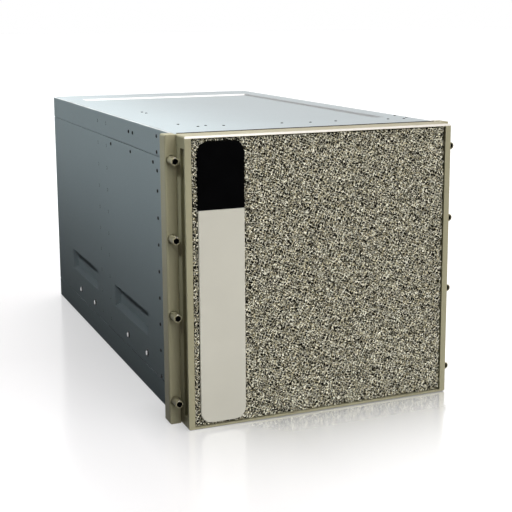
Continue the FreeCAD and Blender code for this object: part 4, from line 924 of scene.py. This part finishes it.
WHITE = (1.0, 1.0, 1.0)
ENDS_LIGHT, ENDS_RANGE = (4.7, 4.7, 4.7), (0.3, 0.9)  # before and behind
UPPER_LIGHT, UPPER_RANGE = (1.12, 0.98, 0.93), (0.4, 0.95)
LEFT_LIGHT, LEFT_RANGE = (0.02, 0.022, 0.024), (0.0, -0.16)
FLOOR_REACH = 40.0
FLOOR_TONE, FLOOR_BOUNCE = (0.425, 0.432, 0.446), (0.05, 0.05, 0.05)
LIFT_MIDDLE, LIFT_RANGE, LIFT = (-0.3, 0.3, 0), (0.3, 1.5), (0.62, 0.86)  # paler away from the object; less lift, a painted shadow, near its left side
FLOOR_GLOSS = 0.16
POLISH = (0.16, 0.72)  # elsewhere, and in a band before the object
BAND_FRONT, BAND_REAR, BAND_LEFT = (-0.85, -0.45), (-0.30, -0.44), (-0.30, -0.08)  # where the band fades in
LAMPS = {
    "overhead_softbox": {"place": (0.45, 0.35, 2.3), "target": (0.05, 0.05, 0.4), "size": (2.2, 2.2),
                         "power": 18.5, "spread_angle": 180, "colour": (1.0, 0.84, 0.80)},
    "side_softbox": {"place": (-0.75, 0.2, 1.15), "target": (-0.2235, 0.2, 0.41), "size": (2.0, 0.2),
                     "power": 1.08, "spread_angle": 26, "colour": (0.93, 0.99, 1.0)},
}


def seen_directly(tree):
    """One for rays from the camera, off metal and through glass."""
    path = add(tree, "LightPath").outputs
    either = math_node(tree, "MAXIMUM", path["Is Camera Ray"], path["Is Glossy Ray"])
    return math_node(tree, "MAXIMUM", either, path["Is Transmission Ray"])


def make_world():
    """White where it is seen. Where it lights, a room dim at the left and brighter before and behind."""
    world = bpy.data.worlds.new("studio")
    bpy.context.scene.world = world
    world.use_nodes = True
    tree = world.node_tree
    direction = add(tree, "SeparateXYZ", {0: add(tree, "TexCoord").outputs["Generated"]}).outputs
    along = spread(tree, math_node(tree, "ABSOLUTE", direction[1]), *ENDS_RANGE)
    leftward = spread(tree, direction[0], *LEFT_RANGE)
    upward = spread(tree, direction[2], *UPPER_RANGE)
    level = blend(tree, along, opaque(WHITE), opaque(ENDS_LIGHT))
    level = blend(tree, upward, level, opaque(UPPER_LIGHT))
    level = blend(tree, leftward, level, opaque(LEFT_LIGHT))
    shown = blend(tree, seen_directly(tree), level, opaque(WHITE))
    background = tree.nodes["Background"]
    put(background.inputs["Color"], shown)
    background.inputs["Strength"].default_value = 1.0


def floor_finish():
    """Pale where it is seen, with the shadow, a painted shadow near the object's left side, and a
    reflection. It bounces little light back.
    """
    finish = Finish("pale_floor")
    tree = finish.tree
    tree.nodes.remove(finish.shader)
    tone = finish.mottled(FLOOR_TONE, size=0.4, low=0.995, high=1.005)
    bounced = add(tree, "BsdfDiffuse", {"Color": opaque(FLOOR_BOUNCE)}).outputs[0]
    lit = add(tree, "BsdfDiffuse", {"Color": tone}).outputs[0]
    away = add(tree, "VectorMath", {0: finish.place, 1: LIFT_MIDDLE}, operation="DISTANCE").outputs["Value"]
    # Painted shadow: the floor is lifted less near the object's left side.
    lift = spread(tree, away, *LIFT_RANGE, *LIFT)
    lifted = add(tree, "Emission", {"Color": opaque(WHITE), "Strength": lift}).outputs[0]
    pale = add(tree, "AddShader", {0: lit, 1: lifted}).outputs[0]
    gloss = add(tree, "BsdfGlossy", {"Color": opaque(WHITE), "Roughness": FLOOR_GLOSS}).outputs[0]
    across, along, _ = add(tree, "SeparateXYZ", {0: finish.place}).outputs
    near = spread(tree, along, *BAND_FRONT)
    before = spread(tree, along, *BAND_REAR)
    right = spread(tree, across, *BAND_LEFT)
    band = math_node(tree, "MULTIPLY", math_node(tree, "MULTIPLY", near, near), before)
    polish = spread(tree, math_node(tree, "MULTIPLY", band, right), 0.0, 1.0, *POLISH)
    polished = add(tree, "MixShader", {0: polish, 1: pale, 2: gloss}).outputs[0]
    shown = add(tree, "MixShader", {0: seen_directly(tree), 1: bounced, 2: polished}).outputs[0]
    put(tree.nodes["Material Output"].inputs["Surface"], shown)
    return finish.material


def make_floor():
    mesh = bpy.data.meshes.new("floor")
    corners = [(x * FLOOR_REACH, y * FLOOR_REACH, 0) for x, y in ((-1, -1), (1, -1), (1, 1), (-1, 1))]
    mesh.from_pydata(corners, [], [(0, 1, 2, 3)])
    mesh.materials.append(floor_finish())
    floor = linked("floor", mesh)


def make_lamp(name, place, target, size, power, spread_angle, colour):
    data = bpy.data.lights.new(name, "AREA")
    data.shape = "RECTANGLE"
    data.size, data.size_y = size
    data.energy = power
    data.color = colour
    data.spread = math.radians(spread_angle)
    lamp = linked(name, data)
    lamp.location = place
    lamp.rotation_euler = (Vector(target) - Vector(place)).to_track_quat("-Z", "Y").to_euler()


def make_stage():
    make_world()
    make_floor()
    for name, settings in LAMPS.items():
        make_lamp(name, **settings)


def main():
    make_camera()
    make_stage()
    finishes = {made.__name__: made() for made in SLOT_FINISHES}
    paint_nodes(finishes)
    make_foam(finishes)
    make_fasteners(finishes)
    make_shade_strips()
    make_groove_linings(finishes)
    make_supply_faces(finishes)
    make_board_parts(finishes)


main()
bpy.context.scene.view_settings.view_transform = "Standard"
bpy.context.view_layer.update()
